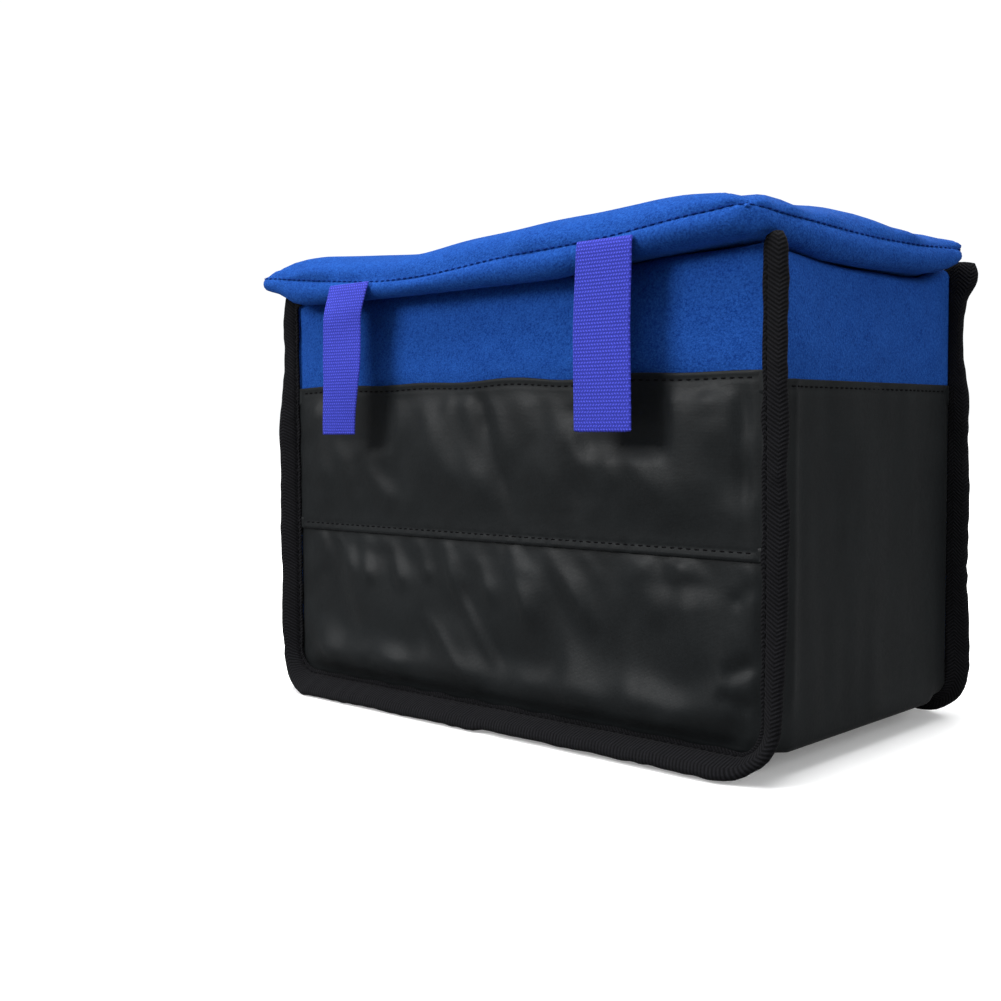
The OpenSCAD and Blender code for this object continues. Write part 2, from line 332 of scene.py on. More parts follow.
class Shader(Nodes):
    """A Principled material and short calls to wire nodes into it."""

    def __init__(self, name):
        self.mat = bpy.data.materials.new(name)
        self.mat.use_nodes = True
        super().__init__(self.mat.node_tree)
        self.out = self.tree.nodes["Principled BSDF"]

    def math(self, operation, a, b=0.0):
        n = self.node("Math", {"operation": operation})
        self.put(n, "0", a)
        self.put(n, "1", b)
        return n.outputs[0]

    def blend(self, *parts):
        """Weighted sum of (value, weight) pairs."""
        total = None
        for value, weight in parts:
            part = self.math("MULTIPLY", value, weight)
            total = part if total is None else self.math("ADD", total, part)
        return total

    def place(self):
        return self.node("TexCoord").outputs["Object"]

    def weave_uv(self):
        """u and v along the cloth, in mm."""
        uv = self.node("UVMap", {"uv_map": "weave"}).outputs[0]
        parts = self.node("SeparateXYZ", Vector=uv)
        return parts.outputs[0], parts.outputs[1]

    def noise(self, size_mm, detail=2.0, rough=0.5, vector=None):
        """Noise with features this many mm wide, in object space."""
        n = self.node("TexNoise", Vector=vector or self.place(), Scale=1 / (size_mm * MM),
                      Detail=detail, Roughness=rough)
        return n.outputs[0]

    def cells(self, size_mm):
        return self.node("TexVoronoi", Vector=self.place(), Scale=1 / (size_mm * MM)).outputs[0]

    def stretched(self, size_mm, stretch):
        """Noise whose features are stretched along the three axes by these amounts."""
        place = self.node("Mapping", Vector=self.place(), Scale=stretch)
        return self.noise(size_mm, 2.0, 0.6, place.outputs[0])

    def ramp(self, factor, *stops):
        n = self.node("ValToRGB", Fac=factor)
        ramp = n.color_ramp
        while len(ramp.elements) < len(stops):
            ramp.elements.new(0.5)
        for element, (at, colour) in zip(ramp.elements, stops):
            element.position = at
            element.color = (*colour, 1)
        return n.outputs[0]

    def mix(self, factor, a, b):
        n = self.node("Mix", {"data_type": "RGBA"}, Factor=factor)
        self.put(n, "6", a)
        self.put(n, "7", b)
        return n.outputs[2]

    def wave(self, value, pitch):
        """0..1 and back once every pitch mm of this value."""
        turned = self.math("MULTIPLY", value, 2 * math.pi / pitch)
        return self.math("ADD", self.math("MULTIPLY", self.math("SINE", turned), 0.5), 0.5)

    def bump(self, *layers):
        """Stacks (height, strength, depth in mm) layers into the normal."""
        normal = None
        for height, strength, depth in layers:
            n = self.node("Bump", Height=height, Strength=strength, Distance=depth * MM)
            if normal is not None:
                self.put(n, "Normal", normal)
            normal = n.outputs[0]
        self.put(self.out, "Normal", normal)

    def finish(self, **values):
        for key, value in values.items():
            self.put(self.out, key.replace("_", " "), value)
        return self.mat


def fleece(name, dark, light):
    """Short loop nap: mottled colour, fine fibres and a soft sheen."""
    s = Shader(name)
    mottle = s.noise(7.0, 3.0, 0.6)
    grain = s.noise(1.1, 3.0, 0.75)
    fibre = s.stretched(0.7, (1.0, 1.0, 0.5))
    loops = s.cells(0.75)
    tone = s.blend((mottle, 0.18), (grain, 0.52), (s.math("SUBTRACT", 1.0, loops), 0.24))
    middle = tuple((a + b) / 2 for a, b in zip(dark, light))
    colour = s.ramp(tone, (0.32, dark), (0.5, middle), (0.68, light))
    s.bump((s.noise(2.6, 2.0), 0.35, 0.5), (fibre, 0.45, 0.25), (loops, 0.5, 0.25), (grain, 0.8, 0.35))
    return s.finish(Base_Color=colour, Roughness=0.95, Sheen_Weight=0.10, Sheen_Roughness=0.5,
                    Sheen_Tint=(0.15, 0.4, 1.0, 1.0), Specular_IOR_Level=0.03)


def nylon(name):
    """Coated pack cloth: a fine plain weave with a soft shine. Broad painted light and shade patches in its
    colour stand in for the shading of its folds.
    """
    s = Shader(name)
    u, v = s.weave_uv()
    drift = s.math("MULTIPLY", s.noise(30.0), 1.2)
    warp = s.wave(s.math("ADD", u, drift), 0.5)
    weft = s.wave(s.math("ADD", v, drift), 0.5)
    thread = s.math("MULTIPLY", s.math("ADD", warp, weft), 0.5)
    # painted light and shade: broad patches about 22 mm across lighten and darken the colour, standing in for
    # the shading of soft folds
    painted_fold_shade = s.noise(22.0, 3.0, 0.6)
    slub = s.noise(1.6, 2.0, 0.7)
    tone = s.blend((painted_fold_shade, 0.4), (slub, 0.3), (thread, 0.3))
    colour = s.ramp(tone, (0.3, (0.0026, 0.0034, 0.0040)), (0.72, (0.0076, 0.0098, 0.0110)))
    rough = s.math("ADD", 0.43, s.math("MULTIPLY", slub, 0.16))
    s.bump((slub, 0.3, 0.2), (thread, 0.25, 0.06))
    return s.finish(Base_Color=colour, Roughness=rough, Specular_IOR_Level=0.19, Sheen_Weight=0.02,
                    Sheen_Roughness=0.5)


def twill(name):
    """Binding tape: herringbone ribs that turn over along the middle of the tape."""
    s = Shader(name)
    u, v = s.weave_uv()
    fold = s.math("PINGPONG", v, 4.2)
    rib = s.wave(s.math("ADD", u, s.math("MULTIPLY", fold, 0.9)), 1.5)
    cord = s.wave(v, 0.7)
    fuzz = s.noise(0.8, 3.0, 0.7)
    tone = s.blend((rib, 0.6), (fuzz, 0.4))
    colour = s.ramp(tone, (0.2, (0.0015, 0.0015, 0.002)), (0.85, (0.0095, 0.0095, 0.0115)))
    s.bump((fuzz, 0.5, 0.25), (cord, 0.25, 0.12), (rib, 0.65, 0.35))
    return s.finish(Base_Color=colour, Roughness=0.88, Specular_IOR_Level=0.10, Sheen_Weight=0.02)


HOOK_ROW = 1.3          # from one woven row of the hook tape to the next


def hook_tape(name, dark, light):
    """Woven hook tape: staggered rows of small loops on a ribbed ground."""
    s = Shader(name)
    u, v = s.weave_uv()
    row = s.wave(v, HOOK_ROW)
    zig = s.wave(s.math("ADD", u, s.math("MULTIPLY", s.wave(v, 2 * HOOK_ROW), HOOK_ROW / 2)), HOOK_ROW)
    dot = s.math("MULTIPLY", row, zig)
    fuzz = s.noise(0.7, 2.0, 0.7)
    tone = s.blend((dot, 0.65), (fuzz, 0.35))
    colour = s.ramp(tone, (0.15, dark), (0.75, light))
    s.bump((fuzz, 0.3, 0.15), (dot, 0.6, 0.3))
    return s.finish(Base_Color=colour, Roughness=0.7, Specular_IOR_Level=0.12, Sheen_Weight=0.05,
                    Sheen_Roughness=0.4)


def thread(name, dark, light):
    """Twisted sewing thread."""
    s = Shader(name)
    twist = s.stretched(0.35, (1.0, 0.6, 1.0))
    colour = s.ramp(twist, (0.3, dark), (0.7, light))
    s.bump((twist, 0.6, 0.1))
    return s.finish(Base_Color=colour, Roughness=0.85, Specular_IOR_Level=0.06)


def foam(name):
    """Closed-cell foam board: fine cells."""
    s = Shader(name)
    cells = s.cells(0.8)
    tone = s.blend((cells, 0.4), (s.noise(12.0), 0.6))
    colour = s.ramp(tone, (0.2, (0.16, 0.165, 0.175)), (0.8, (0.30, 0.31, 0.33)))
    s.bump((cells, 0.6, 0.3))
    return s.finish(Base_Color=colour, Roughness=0.85)


FLEECE = fleece("fleece_blue", (0.0062, 0.038, 0.215), (0.0220, 0.108, 0.445))
LINING = fleece("fleece_lining", (0.0058, 0.038, 0.225), (0.0190, 0.100, 0.430))
NYLON = nylon("nylon_black")
TWILL = twill("binding_twill")
VIOLET = hook_tape("hook_tape_violet", (0.028, 0.036, 0.330), (0.078, 0.096, 0.720))
HOOK_BLACK = hook_tape("hook_tape_black", (0.004, 0.004, 0.005), (0.030, 0.030, 0.034))
THREAD_BLACK = thread("thread_black", (0.0012, 0.0012, 0.0015), (0.007, 0.007, 0.008))
THREAD_BLUE = thread("thread_blue", (0.0020, 0.014, 0.100), (0.004, 0.032, 0.200))
FOAM = foam("foam_board")


def dress(obj, material, node):
    """Gives a piece its material and hides the CAD node it stands for."""
    obj.data.materials.append(material)
    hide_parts(node)


def wear(obj, material, node, body="case"):
    """Dresses a piece that moves with one body."""
    dress(obj, material, node)
    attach(obj, body)


# ---- cloth simulation ----

def settle(grid, pinned, cap, frames=14, grow=0.0, pressure=0.0, flip=False):
    """Runs Cloth on a grid of points and gives back where they come to rest.

    pinned is a True/False grid. grow makes the cloth larger than its frame, so that it wrinkles.
    cap is how far a point may move, in mm.
    """
    nu, nv = grid.shape[:2]
    obj = make("settling", grid.reshape(-1, 3), quads(nu, nv, 0, flip))
    group = obj.vertex_groups.new(name="pin")
    group.add([int(i) for i in np.flatnonzero(pinned.ravel())], 1.0, "REPLACE")
    mod = obj.modifiers.new("cloth", "CLOTH")
    c = mod.settings
    c.vertex_group_mass = "pin"
    c.quality = 6
    c.mass = 0.15
    c.tension_stiffness = c.compression_stiffness = 12
    c.shear_stiffness = 4
    c.bending_stiffness = 0.25
    c.shrink_min = -grow
    c.effector_weights.gravity = 0
    c.use_pressure = pressure != 0
    c.uniform_pressure_force = pressure
    mod.collision_settings.use_collision = False
    mod.point_cache.frame_start, mod.point_cache.frame_end = 1, frames
    scene = bpy.context.scene
    scene.frame_start, scene.frame_end = 1, frames
    for f in range(1, frames + 1):
        scene.frame_set(f)
    mesh = obj.evaluated_get(bpy.context.evaluated_depsgraph_get()).to_mesh()
    co = np.zeros(len(mesh.vertices) * 3)
    mesh.vertices.foreach_get("co", co)
    moved = co.reshape(nu, nv, 3) / MM - grid
    far = np.linalg.norm(moved, axis=-1, keepdims=True)
    moved *= cap * np.tanh(far / cap) / np.maximum(far, 1e-9)
    scene.frame_set(1)
    bpy.data.objects.remove(obj, do_unlink=True)
    return grid + moved


def slack(half, lo, hi, seed, grow, cap, step=3.2):
    """How far a panel that is a little too large for its seams buckles outwards, as a function of (s, z)."""
    s = np.linspace(-half, half, round(2 * half / step) + 1)
    z = np.linspace(lo, hi, round((hi - lo) / step) + 1)
    gs, gz = table(s, z)
    edge = np.ones(gs.shape, bool)
    edge[1:-1, 1:-1] = False
    start = np.where(edge, 0, 0.5 * waves(join(gs + 0.4 * gz, 0.6 * gz), 26, seed))
    flat = join(gs, gz, start)
    out = settle(flat, edge, grow=grow, cap=cap)[..., 2]
    out = np.sqrt(out ** 2 + 0.25) - 0.5
    for _ in range(2):
        inner = (out[:-2, 1:-1] + out[2:, 1:-1] + out[1:-1, :-2] + out[1:-1, 2:]) / 4
        out[1:-1, 1:-1] = (out[1:-1, 1:-1] + inner) / 2

    def at(qs, qz):
        """The mean of five samples close together, faded out along the upper and lower edge."""
        total = 0.0
        near = ((-0.4, -0.4), (-0.4, 0.4), (0.4, -0.4), (0.4, 0.4), (0, 0))
        for ds, dz in near:
            i = np.clip((qs + half) / (2 * half) * (len(s) - 1) + ds, 0, len(s) - 1.001)
            j = np.clip((qz - lo) / (hi - lo) * (len(z) - 1) + dz, 0, len(z) - 1.001)
            i0, j0 = i.astype(int), j.astype(int)
            a, b = smooth(i - i0, 0, 1), smooth(j - j0, 0, 1)
            value = ((1 - a) * (1 - b) * out[i0, j0] + a * (1 - b) * out[i0 + 1, j0]
                     + (1 - a) * b * out[i0, j0 + 1] + a * b * out[i0 + 1, j0 + 1])
            total = total + value
        return total / len(near) * smooth(qz, lo, lo + 4) * fade(qz, hi - 4, hi)
    return at


# ---- walls ----

CLOTH = 1.2             # thickness of the napped cloth
CORNER_R = 11.0         # radius round which the bound seams turn at the bottom corners


def on_side(side, s, q, z):
    """Row coordinates of a point s along a wall, q in from its outer face, at height z."""
    s, q, z = np.broadcast_arrays(s, q, z)
    x, y = {"front": (s, -(YS - q)), "back": (-s, YS - q),
            "right": (XS - q, s), "left": (-(XS - q), -s)}[side]
    return join(x, y, z)


def half_length(side):
    return XS if side in LONG_SIDES else YS


def wall_grid(side, path, tuck, step=4.0):
    """Grid over a wall: (q, z) path up the wall, mitred where it leans in over the rim."""
    q, z = path[:, 0], path[:, 1]
    half = half_length(side) - np.maximum(q, tuck)
    u = spaced(-1, 1, step / half_length(side), ends=(0.0, 0.01, 0.03, 0.06))
    s = u[:, None] * half[None, :]
    return [a.copy() for a in np.broadcast_arrays(s, q, z)]


def rim_rise(x, y):
    """How far the rim stands above its level place: it is drawn up at the near corner and the back seams."""
    near = 3.8 * smooth(x, 34, 122) * fade(y, -72, -26)
    back = 6.1 * smooth(y, 48, 66) * smooth(np.abs(x), 115, 127)
    left = 2.4 * smooth(-x, 116, 127) * fade(y, -68, -50)
    return near + back + left


def raise_rim(place):
    """Draws the tops of the walls up to the uneven rim."""
    x, y, z = np.moveaxis(place, -1, 0)
    place[..., 2] += rim_rise(x, y) * smooth(z, HEM + 8, RIM - 2)
    return place


def round_corner(s, z, half):
    """Draws the ends of a front or back sheet in round its bottom corners, inside the binding."""
    depth = np.clip(BASE + CORNER_R - z, 0, CORNER_R)
    drawn = CORNER_R - np.sqrt(CORNER_R ** 2 - depth ** 2)
    return s * (1 - drawn / half)


def into_corner(s, q, z, half, skin=0.0):
    """Rounds the foot of a side sheet, towards its ends, to the turn of the bound seams."""
    dq, dz = CORNER_R - q, BASE + CORNER_R - z
    far = np.hypot(dq, dz)
    reach = CORNER_R + skin
    square = (dq > 0) & (dz > 0) & (far > reach)
    pull = np.where(square, 1 - reach / np.maximum(far, 1e-6), 0) * smooth(np.abs(s), half - 15, half - 3)
    return q + dq * pull, z + dz * pull


def outer_wall(side):
    """Outer cloth of a wall: up the outside, rolled over the rim and a little way down inside."""
    r = WALL / 2
    path = [(0, BASE + 2), (0, HEM - 8), (0, RIM - r)] + arc((r, RIM - r), r, 180, 0, 10)[1:]
    path += [(WALL, RIM - r - 3)]
    tuck = CLOTH if side in LONG_SIDES else 0.0
    s, q, z = wall_grid(side, path_points(path, 3.0), tuck)
    inside = fade(np.abs(s), half_length(side) - 14, half_length(side) - 2)
    bare = smooth(z, HEM - 6, HEM + 10) * fade(z, RIM - 10, RIM - 1)
    seed = {"front": 3, "back": 4, "right": 5, "left": 6}[side]
    lumps = waves(join(s, z), 45, seed) * 0.35 + waves(join(s, z), 16, seed + 20) * 0.10
    q = q - bare * inside * (1.1 + lumps)
    q = np.where(q < WALL / 2, q + 0.5 * bell(z, HEM - 1, 3) * inside, q)
    z = z + smooth(q, 1, 5) * fade(q, 6, 9.5) * inside * waves(s[..., None], 60, seed + 40) * 0.4
    if side in LONG_SIDES:
        s = round_corner(s, z, XS)
    else:
        s = s * (1 - 3.4 * fade(z, BASE + 8, BASE + 20) / YS)
        q, z = into_corner(s, q, z, YS)
    return raise_rim(on_side(side, s, np.maximum(q, -1.7), z))


def board(side):
    """Foam board of a wall, rounded where the cloth turns over it."""
    q0, q1, top, r = CLOTH + 0.35, WALL - CLOTH - 0.5, RIM - CLOTH - 0.5, 3.2
    profile = [(q0, BASE + 3)] + arc((q0 + r, top - r), r, 180, 90, 5) + arc((q1 - r, top - r), r, 90, 0, 5)
    profile += [(q1, BASE + 3)]
    half = half_length(side) - (WALL + 0.6 if side in ("right", "left") else CLOTH + 0.4)
    rings = []
    for s in np.linspace(-half, half, 60):
        rings.append([on_side(side, round_corner(s, z, XS) if side in LONG_SIDES else s, q, z)
                      for q, z in profile])
    return board_mesh(side + "_board", raise_rim(np.array(rings)))


def base_board():
    """Foam board of the base, its long edges rounded like the turn of the bound seams."""
    lo, hi = corners("base_foam_board")
    turn = CORNER_R - CLOTH - 0.4
    zs = np.linspace(max(lo[2], BASE + CORNER_R - turn) + 0.1, hi[2] - 0.6, 6)
    xs = XS - CORNER_R + np.sqrt(np.maximum(turn ** 2 - (BASE + CORNER_R - zs) ** 2, 0))
    outline = list(zip(xs, zs)) + list(zip(-xs[::-1], zs[::-1]))
    rings = np.array([[(x, y, z) for x, z in outline] for y in np.linspace(lo[1] + 0.6, hi[1] - 0.6, 24)])
    return board_mesh("base_board", rings)


def board_mesh(name, rings):
    """A closed tube with flat ends. Foam needs no uv."""
    loft = Lofts().add(oriented(rings))
    return make(name, np.concatenate(loft.verts), loft.faces)


def lining_wall(side):
    path = path_points([(WALL, RIM - WALL / 2 - 1), (WALL, FLOOR + 0.5)], 5.0)
    s, q, z = wall_grid(side, path, WALL, 6.0)
    q = q - 0.15 - 0.12 * (1 + np.clip(waves(join(s, z), 30, 11), -1, 1))
    return on_side(side, s, q, z)


def flat_grid(x_half, y_half, z, up, seed):
    x = spaced(-x_half, x_half, 8.0)
    y = spaced(-y_half, y_half, 8.0)
    if not up:
        y = y[::-1]
    gx, gy = table(x, y)
    ripple = waves(join(gx, gy), 40, seed) * 0.12
    return join(gx, gy, z + ripple)


def build_walls():
    for side in ("front", "back", "left", "right"):
        wear(board(side), FOAM, side + "_foam_board")
    wear(base_board(), FOAM, "base_foam_board")
    for side in LONG_SIDES:
        cloth = Sheets().add(outer_wall(side), CLOTH)
        wear(cloth.build(side + "_wall_cloth"), FLEECE, side + "_outer_cloth")
        lining = Sheets().add(lining_wall(side), CLOTH)
        wear(lining.build(side + "_wall_lining"), LINING, side + "_lining")
    strip = Sheets().add(outer_wall("right"), CLOTH).add(outer_wall("left"), CLOTH)
    strip.add(flat_grid(XS - 9.0, YS - 3.4, BASE + 0.4, False, 31), CLOTH)
    wear(strip.build("side_and_base_cloth"), FLEECE, "gusset_outer_cloth")
    lining = Sheets().add(lining_wall("right"), CLOTH).add(lining_wall("left"), CLOTH)
    lining.add(flat_grid(XI + 0.2, YI + 0.2, FLOOR - 0.15, True, 32), CLOTH)
    wear(lining.build("side_and_base_lining"), LINING, "gusset_lining")


# ---- nylon ----

NYLON_T = 0.4
PROUD = 0.42            # least distance of a nylon sheet's outer face from the wall behind it


def pucker(s, z, seam_z, way, seed, count, lean, reach, height, half):
    """Creases that leave a seam at a lean and fade out. way is 1 above the seam and -1 below it."""
    rng = np.random.default_rng(seed)
    total = np.zeros(np.shape(s))
    for _ in range(count):
        start = rng.uniform(-0.96, 0.96) * half
        slope = math.tan(math.radians(rng.normal(lean, 11)))
        long = reach * rng.uniform(0.45, 1.25)
        tall = height * rng.uniform(0.35, 1.0)
        away = way * (z - seam_z)
        t = away / long
        width = 2.4 + 5.0 * np.clip(t, 0, 1.4)
        shape = np.exp(-((s - start - slope * away) / width) ** 2)
        total += tall * shape * smooth(t, 0.0, 0.16) * fade(t, 0.5, 1.15)
    return total


def drape(s, z, half, lo, hi, seed, height):
    """Broad soft folds between the edges of a panel, leaning like the creases."""
    skew = join(s + 0.45 * z, 0.42 * z)
    field = waves(skew, 46, seed) * 0.6 + waves(skew, 26, seed + 1) * 0.16
    rise = smooth(z, lo, lo + 14) * fade(z, hi - 12, hi)
    rise = rise * fade(np.abs(s), half - 16, half - 3)
    return height * rise * (0.5 + field)


def folds(s, z, ridges):
    """Named folds: each runs from (s, z) to (s, z) with a width and a height, soft at both ends."""
    total = np.zeros(np.shape(s))
    for s0, z0, s1, z1, width, height in ridges:
        ds, dz = s1 - s0, z1 - z0
        t = ((s - s0) * ds + (z - z0) * dz) / (ds * ds + dz * dz)
        off = np.abs((s - s0) * dz - (z - z0) * ds) / math.hypot(ds, dz)
        total += height * np.exp(-(off / width) ** 2) * smooth(t, -0.12, 0.2) * fade(t, 0.75, 1.15)
    return total


UPPER_FOLDS = ((-80, 108, -50, 80, 6, 1.6), (-50, 132, -8, 84, 13, 2.2), (-8, 140, 14, 82, 5, -1.7),
               (26, 120, 112, 90, 13, 2.4), (38, 120, 50, 83, 6, -1.5), (88, 139, 112, 118, 9, 1.2),
               (120, 141, 121, 82, 3.4, -1.4), (-112, 138, -106, 88, 6, 1.0))
LOWER_FOLDS = ((-83, 77, -74, 56, 3.6, 1.5), (-63, 77, -53, 54, 4, 1.6), (-46, 77, -38, 60, 3, 1.3),
               (-31, 77, -17, 48, 4, 1.6), (-12, 77, 1, 52, 4, 1.5), (8, 77, 23, 46, 4.6, 1.7),
               (31, 77, 54, 48, 5, 1.9), (73, 77, 86, 52, 6, 1.9), (-17, 52, 3, 26, 2.6, 1.0),
               (-40, 44, -14, 22, 3, 0.9), (96, 66, 112, 24, 12, 1.8), (40, 34, 92, 22, 8, 1.2),
               (124, 70, 116, 62, 3, -1.3), (125, 42, 114, 37, 3.4, -1.5), (124, 26, 112, 30, 3, -1.2))


def tucked(q, s, half, edge_q, reach=5.0):
    """Brings a panel's face down to edge_q under the binding at both ends."""
    t = smooth(np.abs(s), half - reach, half - 0.6)
    return q * (1 - t) + edge_q * t


def turned_hem(front_q, back_q, top, depth):
    """The end of a (q, z) path where a sheet turns over at its mouth and runs back down."""
    r = abs(back_q - front_q) / 2
    turn = [((front_q + back_q) / 2 - r * math.cos(a), top - r + r * math.sin(a))
            for a in np.linspace(0, math.pi, 5)]
    return turn + [(back_q, top - depth)]


def nylon_grid(half, path, step=1.6):
    s = spaced(-half, half, step, ends=(0.0, 0.8, 2.0))[:, None]
    return [a.copy() for a in np.broadcast_arrays(s, path[:, 0], path[:, 1])]


def row_at(path, z):
    """Index of the path point nearest this height, on the outer leg."""
    outer = path[:, 0] <= path[:, 0].min() + 0.4
    return int(np.argmin(np.where(outer, np.abs(path[:, 1] - z), 1e9)))


LAP_STITCH = LAP + 0.6
HEM_STITCH = HEM - 2.6
SIDE_STITCH = SIDE_HEM - 2.6


def front_upper_path():
    """From the edge turned in at the lap, up the face and over the hem."""
    r = 0.45
    low, face, behind = LAP - TURN_UNDER, UPPER_Q, UPPER_Q + 2 * r
    path = [(behind, low + 5)]
    path += [((face + behind) / 2 + r * math.cos(a), low + r - r * math.sin(a))
             for a in np.linspace(0, math.pi, 5)]
    path += [(face, z) for z in (low + 1.5, LAP_STITCH, LAP_STITCH + 6, HEM_STITCH)]
    return path_points(path + turned_hem(face, -0.5, HEM, 8), 1.2)


def stitch_dent(z, at, depth=0.35):
    return depth * bell(z, at, 0.9)


def under_straps(s, z):
    """How far the front panel is held flat by the straps that hang in front of it."""
    held = 0.0
    for side in ("left", "right"):
        x = float(strap_place(side, 0.0, strap_length(side), 0.0)[0])
        beside = fade(np.abs(s - x), STRAP_W / 2 + 2, STRAP_W / 2 + 13)
        held = np.maximum(held, beside * smooth(z, STRAP_END - 14, STRAP_END - 3))
    return held


def front_upper():
    half = PANEL_X + 2.2
    path = front_upper_path()
    s, q, z = nylon_grid(half, path)
    outer = smooth(-q, 1.2, 1.5)
    give = slack(PANEL_X, LAP_STITCH + 1, HEM_STITCH - 1, 70, 0.018, 2.0)
    out = 0.6 * drape(s, z, half, LAP_STITCH, HEM_STITCH, 71, 1.5) + give(s, z)
    out += folds(s, z, UPPER_FOLDS)
    out += pucker(s, z, LAP_STITCH, 1, 72, 24, 12, 18, 1.3, half)
    out += pucker(s, z, HEM_STITCH, -1, 73, 12, -10, 22, 0.7, half)
    out *= smooth(z, LAP_STITCH + 0.5, LAP_STITCH + 27) * fade(z, HEM_STITCH - 8, HEM_STITCH)
    out *= 1 - 0.9 * under_straps(s, z)
    out += 0.12 * waves(s[..., None], 9, 75) * fade(z, LAP, LAP + 4) - stitch_dent(z, LAP_STITCH, 0.4)
    out += 0.75 * bell(z, LAP - 1.1, 1.05)
    out -= stitch_dent(z, HEM_STITCH)
    limp = smooth(z, HEM - 12, HEM) * 0.5 * (0.5 + 0.5 * waves(s[..., None], 60, 76))
    q = tucked(q - outer * out - limp * fade(np.abs(s), half - 20, half - 4), s, half, -0.86)
    z = z + 0.35 * waves(s[..., None], 70, 77) * smooth(z, HEM - 12, HEM)
    return on_side("front", s, np.minimum(q, -PROUD), z), path


def front_lower():
    half = XS - 0.4
    path = path_points([(LOWER_Q, BASE + 0.6), (LOWER_Q, LOWER_HI[2])], 1.6)
    s, q, z = nylon_grid(half, path)
    give = slack(half, BASE + 2, LAP - 3, 80, 0.018, 2.0)
    out = 0.6 * drape(s, z, half, BASE + 2, LAP - 2, 81, 1.5) + 0.6 + give(s, z)
    out += folds(s, z, LOWER_FOLDS)
    out += pucker(s, z, LAP - 2, -1, 82, 20, 26, 20, 1.0, half)
    out += 3.2 * bell(z, BASE + 12, 8) * fade(np.abs(s), half - 26, half - 4)
    held = 1 - 0.75 * smooth(z, LAP - 22, LAP - 5) - 0.25 * smooth(z, LAP - 5, LAP - TURN_UNDER)
    out *= held * smooth(z, BASE + 1, BASE + 7)
    out += pucker(s, z, LAP - 2, -1, 85, 18, 26, 16, 0.9, half) * fade(z, LAP - 5, LAP - TURN_UNDER)
    q = tucked(q - np.maximum(out, -0.3), s, half, -PROUD)
    s = round_corner(s, z, half)
    return on_side("front", s, np.minimum(q, -PROUD), z)


def back_panel():
    half = XS - 0.4
    face = LOWER_Q - 0.2
    path = path_points([(face, BASE + 0.6), (face, HEM_STITCH)] + turned_hem(face, -0.45, HEM, 8), 2.0)
    s, q, z = nylon_grid(half, path, 2.2)
    outer = smooth(-q, 0.6, 0.95)
    give = slack(half, BASE + 2, HEM_STITCH - 1, 90, 0.02, 2.8, 4.0)
    out = drape(s, z, half, BASE + 2, HEM_STITCH, 91, 1.4) + give(s, z)
    out += pucker(s, z, BASE + 3, 1, 92, 22, 9, 30, 1.1, half)
    out += pucker(s, z, HEM_STITCH, -1, 93, 14, -8, 28, 0.9, half)
    out -= stitch_dent(z, HEM_STITCH)
    low = smooth(z, BASE + 1, BASE + 4.5)
    q = tucked(q - outer * out * low, s, half, -PROUD)
    s = round_corner(s, z, half)
    return on_side("back", s, np.minimum(q, -PROUD), z), path


def side_panel(side):
    half = PANEL_Y - 0.2
    face, r = -0.8, 3.4
    low = BASE + face
    path = [(9.0, low), (r + face, low)]
    path += [(r + face - r * math.sin(a), low + r - r * math.cos(a))
             for a in np.linspace(0, math.pi / 2, 6)[1:]]
    path = path_points(path + [(face, SIDE_STITCH)] + turned_hem(face - 0.3, -PROUD, SIDE_HEM, 8), 2.0)
    s, q, z = nylon_grid(half, path, 1.8)
    outer = smooth(-q, 0.6, 0.8) * smooth(z, BASE + 2, BASE + 8)
    front = s if side == "left" else -s
    seed = 101 if side == "right" else 111
    inside = fade(np.abs(s), half - 7, half - 1)
    out = 0.5 * inside + 1.5 * bell(front, half - 11.5, 3.4) * inside * smooth(z, BASE + 4, BASE + 26)
    out += 0.10 * waves(join(s, 0.22 * z), 16, seed) * inside
    out += 0.35 * waves(join(s, 0.5 * z), 55, seed + 1) * inside
    out += 0.3 * bell(z, BASE + 4.5, 1.1) + 0.3 * bell(z, BASE + 8.0, 1.1)
    out -= stitch_dent(z, SIDE_STITCH)
    q = tucked(q - outer * out, s, half, -0.46, 3.0)
    q = np.where(z > BASE + 3, np.minimum(q, -PROUD), q)
    q, z = into_corner(s, q, z, half, 1.3)
    return on_side(side, s, q, z), path


def hem_row(grid, path, z, end=3):
    """The line of a seam on a built panel, and its normals, short of this many points at each end."""
    j = row_at(path, z)
    return grid[end:-end, j], grid_normals(grid)[end:-end, j]


def build_nylon():
    def sheet(node, grid, ending="_nylon"):
        wear(Sheets().add(grid, NYLON_T).build(node + ending), NYLON, node)

    def seams(name, *rows):
        """The stitches of a pocket: rows of (grid, path, height)."""
        lofts = Lofts()
        for row in rows:
            add_stitches(lofts, *hem_row(*row))
        wear(lofts.build(name + "_stitches"), THREAD_BLACK, name + "_thread")

    upper, lower = front_upper(), front_lower()
    sheet("front_pocket_upper", upper[0])
    sheet("front_pocket_lower", lower)
    seams("front_pocket", (*upper, LAP_STITCH), (*upper, HEM_STITCH))
    back = back_panel()
    sheet("back_pocket", back[0])
    seams("back_pocket", (*back, HEM_STITCH))
    sides = {side: side_panel(side) for side in ("right", "left")}
    for side, (grid, _) in sides.items():
        sheet(side + "_side_pocket", grid)
    seams("side_pocket", *((*panel, SIDE_STITCH) for panel in sides.values()))
    sheet("base_nylon", flat_grid(XS - 7.5, PANEL_Y - 0.2, BASE - 1.0, False, 121), "_sheet")


# ---- bound seams ----

TAPE_LAP = 1.3          # how far the tape reaches in over the face of the panel
BINDING_STITCH = 3.4
SEAM_POINT = 5          # the point of the tape's section that its stitches follow
TAPE_END = 4            # how many rings at each end of the tape carry no stitches


